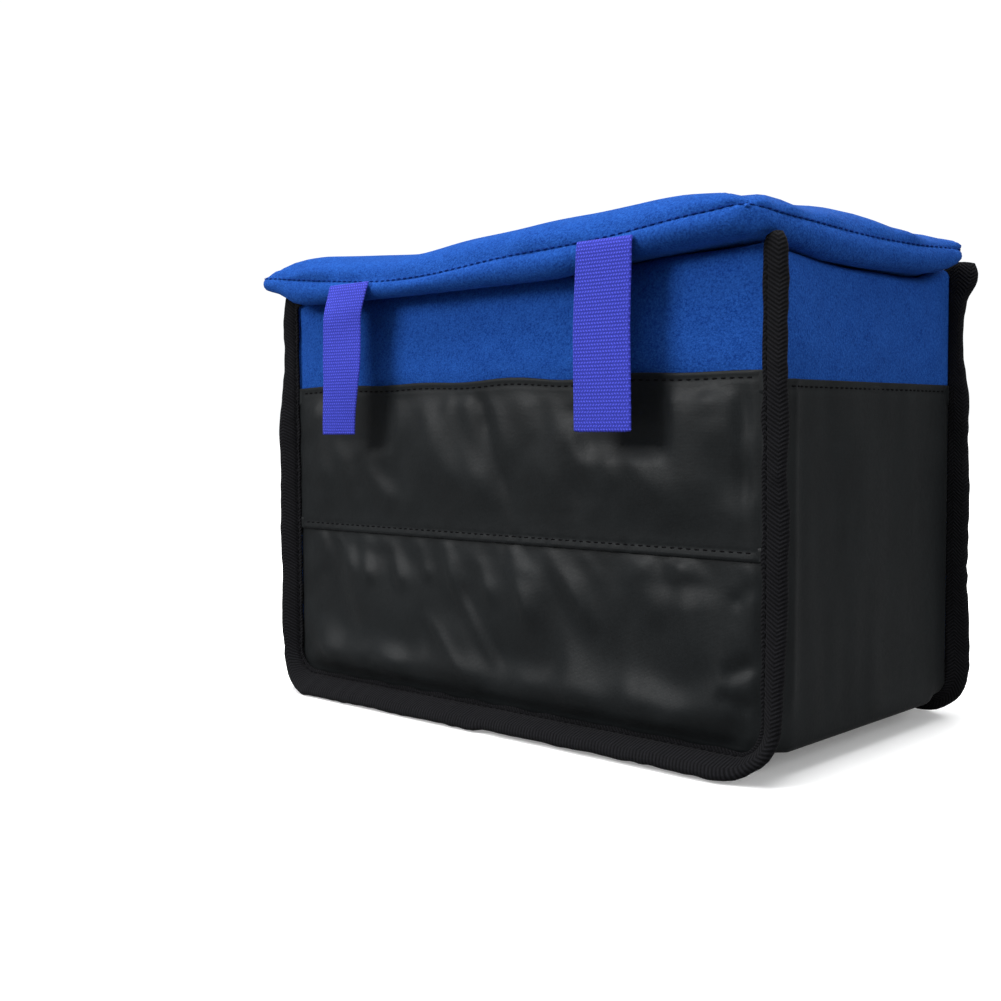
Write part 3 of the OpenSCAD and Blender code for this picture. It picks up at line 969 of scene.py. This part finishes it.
def tape_section():
    """Outline of a bound seam: a is out past the wall edge, b is out from the face of the wall."""
    lap, w, t, back = -TAPE_LAP, FLANGE, TAPE_FRONT, TAPE_BACK
    front = [(lap - 0.05, 0.95), (lap - 0.15, 1.35), (lap, t - 0.25), (lap + 0.5, t + 0.02),
             (lap + 1.2, t - 0.15), (lap + 1.65, t - 0.3), (lap + 2.1, t - 0.15), (lap + 2.8, t + 0.12),
             (2.6, t + 0.22), (3.8, t + 0.28), (5.2, t + 0.28), (6.4, t + 0.2), (7.4, t + 0.0)]
    edge = [(8.3, t - 0.45), (w - 0.1, t - 1.15), (w + 0.05, 0.1), (w - 0.15, -back + 0.75),
            (w - 0.8, -back + 0.15)]
    rear = [(w - 2.0, -back - 0.12), (5.2, -back - 0.2), (3.2, -back - 0.15), (1.4, -back),
            (0.35, -back + 0.15), (0.12, -back + 0.9), (0.1, 0.2), (0.05, 0.86)]
    return np.array(front + edge + rear)


def tape_stations(taller):
    """Places along the U of a seam: (x, z) of the wall edge, the way out in its plane, and the splay."""
    out = []
    top, low = TAPE_HI[2] + taller, BASE + CORNER_R
    for z in np.arange(top, low, -2.0):
        out.append((XS, z, 1.0, 0.0, 0.5 * float(1 - smooth(z, low - 4, 72))))
    cx = XS - CORNER_R
    for a in np.linspace(0, math.pi / 2, 9):
        c, d = math.cos(a), math.sin(a)
        out.append((cx + CORNER_R * c, low - CORNER_R * d, c, -d, 0.5 + 0.42 * min(1.0, a)))
    for x in np.arange(cx - 2.0, 0.0, -2.0):
        out.append((x, BASE, 0.0, -1.0, 0.92 + 0.08 * float(smooth(cx - x, 0.0, 20.0))))
    right = np.array(out)
    left = right[::-1].copy()
    left[:, 0] *= -1
    left[:, 2] *= -1
    return np.concatenate([right, left])


def tape_rings(back_side):
    """Rings of the tape along the U, in row coordinates, with the bottom run turned out into a foot."""
    section = tape_section()
    stations = tape_stations(1.6 if back_side else 0.0)
    along = measured(stations[:, :2])[:, None]
    seed = 141 if back_side else 131
    edge_wave = 0.26 * waves(along, 34, seed) + 0.12 * waves(along, 10, seed + 1)
    face_wave = 0.22 * waves(along, 30, seed + 2) + 0.10 * waves(along, 8, seed + 3)
    lap_wave = 0.18 * waves(along, 17, seed + 4)
    foot_down, foot_out = BASE - 1.6, FOOT_Y - (YS + TAPE_FRONT) + (0.0 if back_side else 1.4)
    stretch = math.hypot(foot_down, foot_out) / FLANGE
    angle = math.atan2(foot_out, foot_down)
    rings = []
    for k, (x, z, ax, az, splay) in enumerate(stations):
        ring = []
        if x < 0 and not back_side:
            splay = max(splay, 0.50 - 0.34 * float(smooth(z, 120, 185)))
        turn = angle * splay
        wide = 1 + (stretch - 1) * float(smooth(splay, 0.3, 0.95))
        calm = 1 - 0.75 * splay
        narrow = 1 - flange_waist(x, z, back_side)
        above = smooth(z, RIM - 1.5, RIM + 1.5) * (0.0 if x > 0 and not back_side else 1.0)
        for a, b in section:
            a = a * narrow if a > 0 else a * (1 + 2.0 * above)
            outer = smooth(a, 3.0, FLANGE)
            a2 = a + edge_wave[k] * outer * calm + lap_wave[k] * fade(a, -TAPE_LAP, -TAPE_LAP + 1.2)
            b2 = b + face_wave[k] * smooth(a, 0.0, 5.0)
            if a2 <= 0:
                down, out = a2, b2
            else:
                bend = turn * smooth(a2, 0.0, 2.5)
                down = a2 * wide * math.cos(turn) - b2 * math.sin(bend)
                out = a2 * wide * math.sin(turn) + b2 * math.cos(bend)
            ring.append((x + ax * down, out, z + az * down))
        rings.append(ring)
    rings = np.array(rings)
    end_round(rings, 0.6 if back_side else 1.9)
    rings[..., 2] = np.maximum(rings[..., 2], 0.15)
    y = YS + rings[..., 1]
    rings[..., 1] = y if back_side else -y
    return rings


def flange_waist(x, z, back_side):
    """How much narrower the flange of the seam is at a place up its side."""
    corner = 0.26 * float(bell(math.hypot(abs(x) - XS, z - BASE), 4, 6))
    if back_side:
        return corner + 0.36 * float(bell(z, 160, 22)) - 0.34 * float(smooth(z, 174, RIM))
    return corner + (0.10 * float(smooth(z, 110, 182)) if x < 0 else 0.10 + 0.10 * float(smooth(z, 60, 170)))


def end_round(rings, drop):
    """Rounds off the turned-in top ends of the tape."""
    for end, step in ((0, 1), (-1, -1)):
        for k, (shrink, lift) in enumerate(((0.6 if drop < 1 else 0.45, 0.3), (0.84, 0.0), (0.97, 0.0))):
            i = end + k * step
            mid = rings[i].mean(0)
            rings[i] = mid + (rings[i] - mid) * np.array([0.5 + shrink / 2, shrink, 1])
            rings[i, :, 2] += lift
        for k in range(5):
            i = end + k * step
            across = (np.abs(rings[i, :, 0]) - XS - 4.0) / 5.0
            rings[i, :, 2] -= drop * (1 - k / 5) * across ** 2


def oriented(rings):
    """Rings turned round if the loft would face inwards."""
    mid = len(rings) // 3
    ring = rings[mid]
    along = rings[mid + 1].mean(0) - ring.mean(0)
    turn = np.cross(ring - ring.mean(0), np.roll(ring, -1, axis=0) - ring.mean(0)).sum(0)
    return rings if turn @ along > 0 else rings[:, ::-1]


def build_bindings():
    for side, back_side in (("front", False), ("back", True)):
        rings = tape_rings(back_side)
        wear(Lofts().add(oriented(rings)).build(side + "_binding"), TWILL, side + "_binding_tape")
        sewn = rings[TAPE_END:-TAPE_END]
        line, across = sewn[:, SEAM_POINT], sewn[:, SEAM_POINT - 1] - sewn[:, SEAM_POINT + 1]
        normals = unit(np.cross(np.gradient(line, axis=0), across))
        if normals[len(normals) // 2, 1] * (1 if back_side else -1) < 0:
            normals = -normals
        rows = add_stitches(Lofts(), line, normals, pitch=BINDING_STITCH)
        wear(rows.build(side + "_binding_stitches"), THREAD_BLACK, side + "_binding_thread")


# ---- lid ----

LID_A = (LID_HI[0] - LID_LO[0]) / 2
LID_B = (LID_HI[1] - LID_LO[1]) / 2
LID_Y = (LID_HI[1] + LID_LO[1]) / 2
LID_R = 12.0            # corner radius of the seam, seen from above
# how far in from the seam the pad's rings lie on its grid
ENDS = (0.0, 0.7, 1.5, 2.5, 3.8, 5.4, 7.6, 10.4, 14.0)
# (inset, height as a share) of each ring of the pad's edge, from the seam to the top and to the underside
TOP_RINGS = ((0.6, 0.0), (0.1, 0.06), (-0.25, 0.19), (-0.2, 0.36), (0.7, 0.57), (2.5, 0.76), (5.2, 0.90),
             (8.6, 0.97), (12.8, 1.0))
LOW_RINGS = ((0.6, 0.0), (0.05, 0.06), (-0.6, 0.20), (-1.0, 0.40), (-0.7, 0.62), (0.6, 0.82), (2.9, 0.95),
             (6.0, 1.0), (9.5, 0.98))


def front_share(y):
    return np.clip((60 - y) / 144, 0, 1)


def lid_skew(x, y):
    """The soft lid sits a little askew: its front edge is drawn to the left."""
    return x + front_share(y) * (-5.5 - 3.5 * x / LID_A)


def front_or_side(y, front, side):
    """Turns from the front edge's value to the side edge's behind it."""
    at_front = fade(y, LID_LO[1], LID_LO[1] + 26)
    return at_front * front + (1 - at_front) * side


def seam_rise(x, y):
    """How far the seam is above its level place."""
    front = (-7.4 * bell(x, -42, 66) - 1.3 * bell(x, 48, 30) + 3.2 * smooth(x, 66, 122)
             + 2.0 * bell(x, -139, 22))
    side = -0.5 * bell(y, 4, 40) + 2.6 * fade(y, -80, 4) + 0.8 * smooth(y, 25, 55)
    peak = 1.2 * bell(np.hypot(x - 127, y + 82), 0, 7)
    return front_or_side(y, front, side) + peak


def top_rise(x, y):
    forward = fade(y, LID_LO[1] + 4, LID_LO[1] + 80)
    front = -4.9 * bell(x, -50, 44) + 2.1 * bell(x, 92, 34) + 0.8 * bell(x, -122, 18)
    side = -0.9 * bell(y, -46, 14) + 0.7 * bell(y, -14, 14) - 3.0 * smooth(y, -5, 50)
    return forward * front + smooth(x, 95, 126) * side


def low_rise(x, y):
    """The overhang droops outside the walls; over the walls the underside clears the rim."""
    over = np.maximum.reduce([smooth(-y, YS + 3.5, YS + 6.5), smooth(x, XS - 4, XS + 1),
                              smooth(-x, XS + 2, XS + 6)])
    front = -3.4 * smooth(x, -136, -112) * fade(x, 40, 74)
    side = -1.1 * bell(y, -8, 32) + 1.6 * smooth(y, 34, 50) - 2.3 * smooth(y, 50, 66)
    return rim_rise(x, y) * 1.05 + over * front_or_side(y, front, side)


def ring_place(rings):
    """Plan position and ring number of each point of the pad's grid, and whether it is in the edge rings."""
    xs = spaced(-LID_A, LID_A, 4.5, ENDS)
    ys = spaced(-LID_B, LID_B, 4.5, ENDS)
    k, on_y = steps_in(len(xs), len(ys))
    x, y = table(xs, ys)
    edge = k < len(ENDS)
    kk = np.minimum(k, len(ENDS) - 1)
    inset = np.array([r[0] for r in rings])[kk]
    d = np.array(ENDS)[kk]
    a, b = LID_A - inset, LID_B - inset
    r = np.maximum(LID_R - 0.5 * inset, 4.0)
    tx = np.maximum(LID_A - np.abs(x) - d, 0)
    ty = np.maximum(LID_B - np.abs(y) - d, 0)
    px = np.where(on_y, a - tx * (a / (LID_A - d)), a)
    py = np.where(on_y, b, b - ty * (b / (LID_B - d)))
    t_real = np.where(on_y, a - px, b - py)
    bent = edge & (t_real < r)
    turn = math.pi / 4 * np.clip(t_real / r, 0, 1)
    phi = np.where(on_y, math.pi / 4 + turn, math.pi / 4 - turn)
    cx, cy = a - r + r * np.cos(phi), b - r + r * np.sin(phi)
    px = np.where(bent, cx, px)
    py = np.where(bent, cy, py)
    sx, sy = np.where(x < 0, -1, 1), np.where(y < 0, -1, 1)
    gx = np.where(edge, sx * px, x)
    gy = np.where(edge, sy * py, y)
    return gx, gy + LID_Y, kk, edge


def tape_dent(x, y, z):
    """Lifts the pad clear of the ends of the front binding."""
    over = bell(y, -(YS + 0.2), 3.6) * smooth(np.abs(x), XS - 4.6, XS - 2.2)
    return z + over * np.maximum(0, TAPE_HI[2] + 1.4 - z)


# corners of the lid: place, how far in they are pinched thin, by how much, and how far they are drawn out
TIPS = ((-141, -83, 17, 0.34, 5.2), (136, 66, 10, 0.10, 0.3), (-136, 66, 10, 0.10, 0.3))


def pad_surface(rings, level, rise, seed, crown):
    """Grid of one face of the pad, from the seam round its edge to the middle."""
    x, y, k, edge = ring_place(rings)
    share = np.where(edge, np.array([r[1] for r in rings])[k], 1.0)
    shown_x = lid_skew(x, y)
    seam = SEAM + seam_rise(shown_x, y)
    flat = level + rise(shown_x, y)
    z = seam + share * (flat - seam)
    u, v = x / LID_A, (y - LID_Y) / LID_B
    inner = np.clip(1 - u ** 4, 0, 1) * np.clip(1 - v ** 4, 0, 1)
    plan = join(x, y)
    z = z + crown * inner * (1 + 0.4 * waves(plan, 58, seed) * smooth(share, 0.6, 1.0))
    belly = np.sin(np.pi * np.clip(share, 0, 1)) * edge
    around = np.arctan2(v, u)
    gather = waves(join(x, y, 3 * share), 17, seed + 1) * 0.30 + waves(plan, 42, seed + 2) * 0.45
    out = belly * gather
    cx, cy = np.abs(u), np.abs(v)
    mitre = bell(cx, 0.985, 0.035) * bell(cy, 0.975, 0.06)
    out -= mitre * belly * 0.8
    px = x + out * np.cos(around) * (cx > 0.9)
    py = y + out * np.sign(y - LID_Y) * (cy > 0.85)
    px = lid_skew(px, py)
    for tip_x, tip_y, reach, pinch, pull in TIPS:
        near = bell(np.hypot(px - tip_x, py - tip_y), 0, reach)
        z = seam + (z - seam) * (1 - pinch * near)
        px = px + pull * near * np.sign(tip_x)
    return join(px, py, z)


def pad_core(top, low):
    """The lid's foam: a closed pad a little inside both cloths."""
    nu, nv = top.shape[:2]
    shrink = np.array([1 - 3.2 / LID_A, 1 - 3.2 / LID_B])
    middle = np.array([lid_skew(0, LID_Y), LID_Y])
    seam = SEAM + seam_rise(top[..., 0], top[..., 1])
    faces = []
    for grid, share in ((top, 0.78), (low, 0.72)):
        face = grid.copy()
        face[..., :2] = middle + (face[..., :2] - middle) * shrink
        face[..., 2] = seam + (face[..., 2] - seam) * share
        faces.append(face)
    low_index = np.arange(nu * nv) + nu * nv
    ring = border(nu, nv)
    edge = ring[:, 0] * nv + ring[:, 1]
    low_index[edge] = edge
    mesh = quads(nu, nv) + [tuple(int(low_index[v]) for v in q) for q in quads(nu, nv, 0, True)]
    verts = np.concatenate([f.reshape(-1, 3) for f in faces])
    used = np.unique([v for q in mesh for v in q])
    place = np.zeros(len(verts), int)
    place[used] = np.arange(len(used))
    return make("lid_foam", verts[used], [tuple(int(place[v]) for v in q) for q in mesh])


def build_lid():
    top = pad_surface(TOP_RINGS, LID_TOP, top_rise, 151, 1.3)
    low = pad_surface(LOW_RINGS, LID_LO[2], low_rise, 161, 0.0)
    ring_no = ring_place(TOP_RINGS)[2]
    top = settle(top, ring_no < 1, frames=10, pressure=4.0, cap=1.5)
    over_wall = (np.abs(low[..., 0]) < XS + 0.5) & (np.abs(low[..., 1]) < YS + 2.5)
    low = settle(low, (ring_no < 1) | over_wall, frames=8, pressure=3.0, cap=1.0, flip=True)
    low[..., 2] = tape_dent(low[..., 0], low[..., 1], low[..., 2])
    wear(Sheets().add(top, CLOTH).build("lid_upper_cloth"), FLEECE, "lid_top_cloth", "lid")
    wear(Sheets().add(low, CLOTH, flip=True).build("lid_lower_cloth"), FLEECE, "lid_bottom_cloth", "lid")
    ring = border(*top.shape[:2])
    ring = np.concatenate([ring, ring[:1]])
    normals = grid_normals(top)
    inner = np.clip(ring, 1, [top.shape[0] - 2, top.shape[1] - 2])
    line = 0.6 * top[inner[:, 0], inner[:, 1]] + 0.4 * top[ring[:, 0], ring[:, 1]]
    rows = add_stitches(Lofts(), line, normals[inner[:, 0], inner[:, 1]], lift=0.18)
    wear(rows.build("lid_seam_stitches"), THREAD_BLUE, "lid_seam_thread", "lid")
    wear(pad_core(top, low), FOAM, "lid_foam_board", "lid")


# ---- hinge strip ----

def build_hinge():
    lo, hi = corners("lid_hinge_strip")
    half, sewn_y, end_y = hi[0] - 0.5, YS + 2.1, LID_HI[1] - 0.9
    s = np.linspace(0, 1, 15)
    y = sewn_y + s * (end_y - sewn_y) + (hi[1] - YS - 1.2) * np.sin(math.pi * s)
    z = RIM + s * (SEAM - 0.2 - RIM)
    sewn = [(sewn_y, low) for low in (lo[2] + 0.3, lo[2] + 4, RIM - 4)]
    path = np.concatenate([sewn, join(y, z)])
    x = spaced(-half, half, 4.0, ends=(0.0, 0.8, 2.0))[::-1]
    gx, py = table(x, path[:, 0])
    pz = np.broadcast_to(path[:, 1], gx.shape).copy()
    free = smooth(pz, RIM - 2, RIM + 3) * fade(pz, SEAM - 3, SEAM - 0.5)
    py = py + free * 0.5 * waves(join(gx, pz), 26, 171)
    py = py - free * smooth(np.abs(gx), half - 16, half) * (py - np.minimum(py, YS + 2.2))
    pz = pz + free * 0.3 * waves(join(gx, pz), 34, 172)
    strip = Sheets().add(join(gx, py, pz), 0.9).build("lid_hinge_cloth")
    dress(strip, FLEECE, "lid_hinge_strip")
    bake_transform(strip)


# ---- straps ----

STRAP_W = STRAP_HI[0] - STRAP_LO[0]
STRAP_T = 1.1
STRAP_Y = STRAP_LO[1]
STRAP_END = STRAP_LO[2]


def strap_centre(side):
    """Where a strap leaves the seam."""
    x = 69.6 if side == "right" else -73.0
    return x, SEAM + float(seam_rise(x, LID_LO[1]))


def strap_length(side):
    return strap_centre(side)[1] - STRAP_END + (0.0 if side == "left" else -0.8)


def strap_place(side, across, down, out):
    """Row coordinates of a point of a strap: across it, down from the seam and out from its inner face."""
    x0, z0 = strap_centre(side)
    t = down / strap_length(side)
    share = across / STRAP_W
    emerge = 1 - np.exp(-np.maximum(down, 0) / 1.6)
    if side == "right":
        x = x0 + across * (1 + 0.04 * t) - 1.2 * smooth(t, 0, 0.5)
        curl, turned = 0.5 * t ** 2, 0.5 * share * np.sin(math.pi * np.clip(t, 0, 1))
    else:
        shift = 2.9 * smooth(t, -0.1, 0.34) + 0.6 * t + 3.3 * smooth(t, 0.5, 1.05)
        x = x0 + across * (1 - 0.15 * smooth(t, 0, 0.3) - 0.20 * smooth(t, 0.45, 1)) - shift
        curl = -1.4 * np.sin(math.pi * np.clip(t, 0, 1)) - 1.1 * t - 0.9 * bell(t, 0.19, 0.11)
        turned = share * (2.8 * smooth(t, 0.02, 0.3) + 1.2 * smooth(t, 0.6, 1.0))
    y = STRAP_Y + STRAP_T - 0.4 - 0.6 * emerge + curl + turned - out
    z = z0 - 1.0 - down
    return join(x, y, z)


def ribs(x, pitch):
    """0..1 and back once every pitch mm."""
    return 0.5 + 0.5 * np.sin(2 * math.pi * x / pitch)


def strap_grid(side):
    """Outer face of a strap, fine enough to carry its woven rows."""
    length = strap_length(side)
    across = np.linspace(-STRAP_W / 2, STRAP_W / 2, 61)
    down = np.linspace(length, -0.2, round(length / 0.42))
    a, d = table(across, down)
    field = np.abs(a) < STRAP_W / 2 - 1.6
    turned = HOOK_ROW / 2 * np.sign(np.sin(math.pi * d / HOOK_ROW))
    woven = 0.13 * ribs(d, HOOK_ROW) * ribs(a + turned, HOOK_ROW)
    relief = np.where(field, woven, 0.05 + 0.03 * np.sin(2 * math.pi * d / 0.9))
    return strap_place(side, a, d, STRAP_T - 0.16 + relief)


HOOK_SIZE = 0.75


def hook(lofts, base, out, up):
    """One small hook: a bent thread with its end turned over."""
    out, up = np.array(out), np.array(up)
    side = np.cross(out, up)
    reach, lift = out * HOOK_SIZE, up * HOOK_SIZE
    spine = [base, base + reach * 0.6, base + reach + lift * 0.25, base + reach * 0.8 + lift * 0.6]
    rings = []
    for k, p in enumerate(spine):
        w = 0.14 * (1 - 0.12 * k)
        rings.append([p + w * (side * math.cos(t) + up * math.sin(t)) for t in (0.8, 2.4, 3.9, 5.5)])
    lofts.add(rings)


def build_strap(side):
    body = "strap_" + side
    tape = Sheets().add(strap_grid(side), STRAP_T - 0.2).build(body + "_webbing")
    field = Lofts()
    length = strap_length(side)
    rng = np.random.default_rng(181 if side == "right" else 182)
    for a in np.arange(-STRAP_W / 2 + 2.4, STRAP_W / 2 - 2.2, 1.45):
        for d in np.arange(14.0, length - 2.0, 1.6):
            p = strap_place(side, a + rng.uniform(-0.2, 0.2), d + rng.uniform(-0.2, 0.2), 0.05)
            hook(field, p, (0, 1, 0), (0, 0, 1 if rng.random() < 0.5 else -1))
    hooks = field.build(body + "_hook_field")
    for obj, node in ((tape, "_tape"), (hooks, "_hooks")):
        dress(obj, VIOLET, body + node)
        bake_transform(obj)


# ---- dividers ----

DIV_T = DIV_HI[0] - DIV_LO[0]
DIV_X = (DIV_HI[0] + DIV_LO[0]) / 2


def divider_face(sign, x0, seed):
    """One face of a divider with its rounded edge, from its middle plane to the flat."""
    edge = ((0.0, 0.0), (0.05, 0.30), (0.5, 0.62), (1.4, 0.86), (2.8, 0.98), (4.6, 0.93), (6.2, 0.98))
    ends = (0.0, 0.4, 1.0, 1.9, 3.2, 4.8, 6.5)
    ys = spaced(DIV_LO[1], DIV_HI[1], 6.0, ends)
    zs = spaced(DIV_LO[2], DIV_HI[2], 6.0, ends)
    k = np.minimum(steps_in(len(ys), len(zs))[0], len(ends) - 1)
    y, z = table(ys, zs)
    inset = np.array([e[0] for e in edge])[k]
    half_y, half_z = (DIV_HI[1] - DIV_LO[1]) / 2, (DIV_HI[2] - DIV_LO[2]) / 2
    mid_y, mid_z = (DIV_HI[1] + DIV_LO[1]) / 2, (DIV_HI[2] + DIV_LO[2]) / 2
    y = np.clip(y, DIV_LO[1] + inset, DIV_HI[1] - inset)
    z = np.clip(z, DIV_LO[2] + inset, DIV_HI[2] - inset)
    share = np.array([e[1] for e in edge])[k]
    inner = (1 - ((y - mid_y) / half_y) ** 6) * (1 - ((z - mid_z) / half_z) ** 6)
    swell = 0.35 * inner * (1 + 0.5 * waves(join(y, z), 34, seed))
    x = x0 + sign * (share * (DIV_T / 2 - 0.25) + np.clip(swell, 0, 0.6) * (k == len(ends) - 1))
    return join(x, y, z)


def divider_core(x0):
    """Foam board of a divider, a little inside its cover and rounded along its edges."""
    lo, hi = corners("divider_right_foam")
    wide, r = (hi[0] - lo[0]) / 2 - 0.9, 1.6
    low, high = lo[2] + 1.6, hi[2] - 1.6
    turns = ((wide - r, high - r, 0), (r - wide, high - r, 90),
             (r - wide, low + r, 180), (wide - r, low + r, 270))
    outline = [p for x, z, start in turns for p in arc((x, z), r, start, start + 90, 4)]
    return Lofts().add([[(x0 + x, y, z) for x, z in outline]
                        for y in np.linspace(hi[1] - 1.4, lo[1] + 1.4, 12)])


def build_divider(side):
    body = "divider_" + side
    x0 = DIV_X if side == "right" else -DIV_X
    seed = 191 if side == "right" else 195
    cover = Sheets().add(divider_face(1, x0, seed), 0.9).add(divider_face(-1, x0, seed + 1), 0.9, flip=True)
    wear(cover.build(body + "_fleece_cover"), LINING, body + "_cover", body)
    wear(divider_core(x0).build(body + "_board"), FOAM, body + "_foam", body)
    wide = (DIV_HOOK_HI[0] - DIV_HOOK_LO[0]) / 2
    ends = Sheets()
    across = np.linspace(-wide + 0.2, wide - 0.2, 27)
    up = np.linspace(DIV_HOOK_LO[2] + 0.3, DIV_HOOK_HI[2] - 0.3, 100)
    for sign in (1, -1):
        a, z = table(across * sign, up)
        relief = 0.12 * ribs(a, 1.5) * ribs(z, 2.5)
        y = sign * (DIV_HOOK_HI[1] - 0.2 + relief - 0.25 * smooth(np.abs(a), wide - 4, wide))
        ends.add(join(x0 - a, y, z), 0.9)
    wear(ends.build(body + "_hook_ends"), HOOK_BLACK, body + "_hooks", body)


# ---- floor, light and camera ----

EYE = (0.3699, -0.4568, 0.1246)
YAW, PITCH, ROLL = 43.52, -3.19, -0.38      # degrees
LENS, SENSOR = 46.9, 36
FLOOR_BOUNCE = 0.22     # how bright the floor is to light, but not to the camera
GLOW_REACH = 0.05       # how far from the object the floor turns plain white, in metres


def build_floor():
    """A pale floor with a painted glow, seen by the camera only, that brightens it to plain white away from
    the object and washes out the real shadow there; near the object the glow is weak, so the contact shadow
    shows.
    """
    bpy.ops.mesh.primitive_plane_add(size=40, location=(0, 0, 0))
    floor = bpy.context.object
    floor.name = "floor"
    s = Shader("floor_pale")
    split = s.node("SeparateXYZ", Vector=s.place())
    past_end = s.math("SUBTRACT", s.math("ABSOLUTE", split.outputs[0]), XS * MM)
    past_side = s.math("SUBTRACT", s.math("ABSOLUTE", split.outputs[1]), YS * MM)
    away = s.math("MAXIMUM", past_end, past_side)
    # painted glow: the floor's emission rises from weak beside the object to full beyond GLOW_REACH, which
    # erases the real shadow further out
    white = s.node("MapRange", Value=away, From_Max=GLOW_REACH).outputs[0]
    glow = s.math("MULTIPLY", s.math("ADD", s.math("MULTIPLY", white, 0.9), 0.15), s.camera_ray())
    pale = s.ramp(s.noise(30.0, 3.0), (0.3, (0.86, 0.86, 0.86)), (0.7, (0.89, 0.89, 0.89)))
    shown = s.mix(s.camera_ray(), (FLOOR_BOUNCE, FLOOR_BOUNCE, FLOOR_BOUNCE, 1), pale)
    floor.data.materials.append(s.finish(
        Base_Color=shown, Roughness=0.8, Specular_IOR_Level=0.1, Emission_Color=(1, 1, 1, 1),
        Emission_Strength=glow))


def area_light(name, place, target, size, power):
    data = bpy.data.lights.new(name, "AREA")
    data.shape = "RECTANGLE"
    data.size, data.size_y = size
    data.energy = power
    lamp = bpy.data.objects.new(name, data)
    bpy.context.scene.collection.objects.link(lamp)
    lamp.location = place
    lamp.rotation_euler = (Vector(target) - Vector(place)).to_track_quat("-Z", "Y").to_euler()


def build_world():
    """White behind the object; as a light it is brighter above than below."""
    world = bpy.data.worlds.new("studio")
    bpy.context.scene.world = world
    world.use_nodes = True
    w = Nodes(world.node_tree)
    height = w.node("SeparateXYZ", Vector=w.node("TexCoord").outputs["Generated"]).outputs[2]
    sky = w.node("MapRange", Value=height, From_Min=-0.4, From_Max=1.0, To_Min=0.02, To_Max=0.62)
    mix = w.node("Mix")
    for key, value in (("0", w.camera_ray()), ("2", sky.outputs[0]), ("3", 1.05)):
        w.put(mix, key, value)
    back = w.tree.nodes["Background"]
    w.put(back, "Color", (0.97, 0.985, 1.0, 1))
    w.put(back, "Strength", mix.outputs[0])


def build_light():
    build_world()
    area_light("key", (-0.44, -0.96, 0.66), (0, 0, 0.11), (0.5, 0.45), 9.5)
    area_light("top", (0.05, -0.30, 1.1), (0, 0, 0.1), (0.8, 0.7), 11)
    area_light("side", (1.1, -0.15, 0.6), (0.1, 0, 0.12), (0.5, 0.5), 4.4)
    area_light("back", (-0.2, 1.1, 0.8), (0, 0, 0.1), (0.8, 0.5), 5.0)
    bpy.context.scene.view_settings.view_transform = "Standard"


def build_camera():
    data = bpy.data.cameras.new("camera")
    data.lens = LENS
    data.sensor_width = SENSOR
    cam = bpy.data.objects.new("camera", data)
    bpy.context.scene.collection.objects.link(cam)
    cam.location = EYE
    yaw, pitch = math.radians(YAW), math.radians(PITCH)
    way = Vector((-math.sin(yaw) * math.cos(pitch), math.cos(yaw) * math.cos(pitch), math.sin(pitch)))
    turn = way.to_track_quat("-Z", "Y").to_matrix()
    cam.rotation_euler = (turn @ Matrix.Rotation(math.radians(ROLL), 3, "Z")).to_euler()
    bpy.context.scene.camera = cam


build_walls()
build_nylon()
build_bindings()
build_lid()
build_hinge()
for strap_side in ("left", "right"):
    build_strap(strap_side)
    build_divider(strap_side)
build_floor()
build_light()
build_camera()
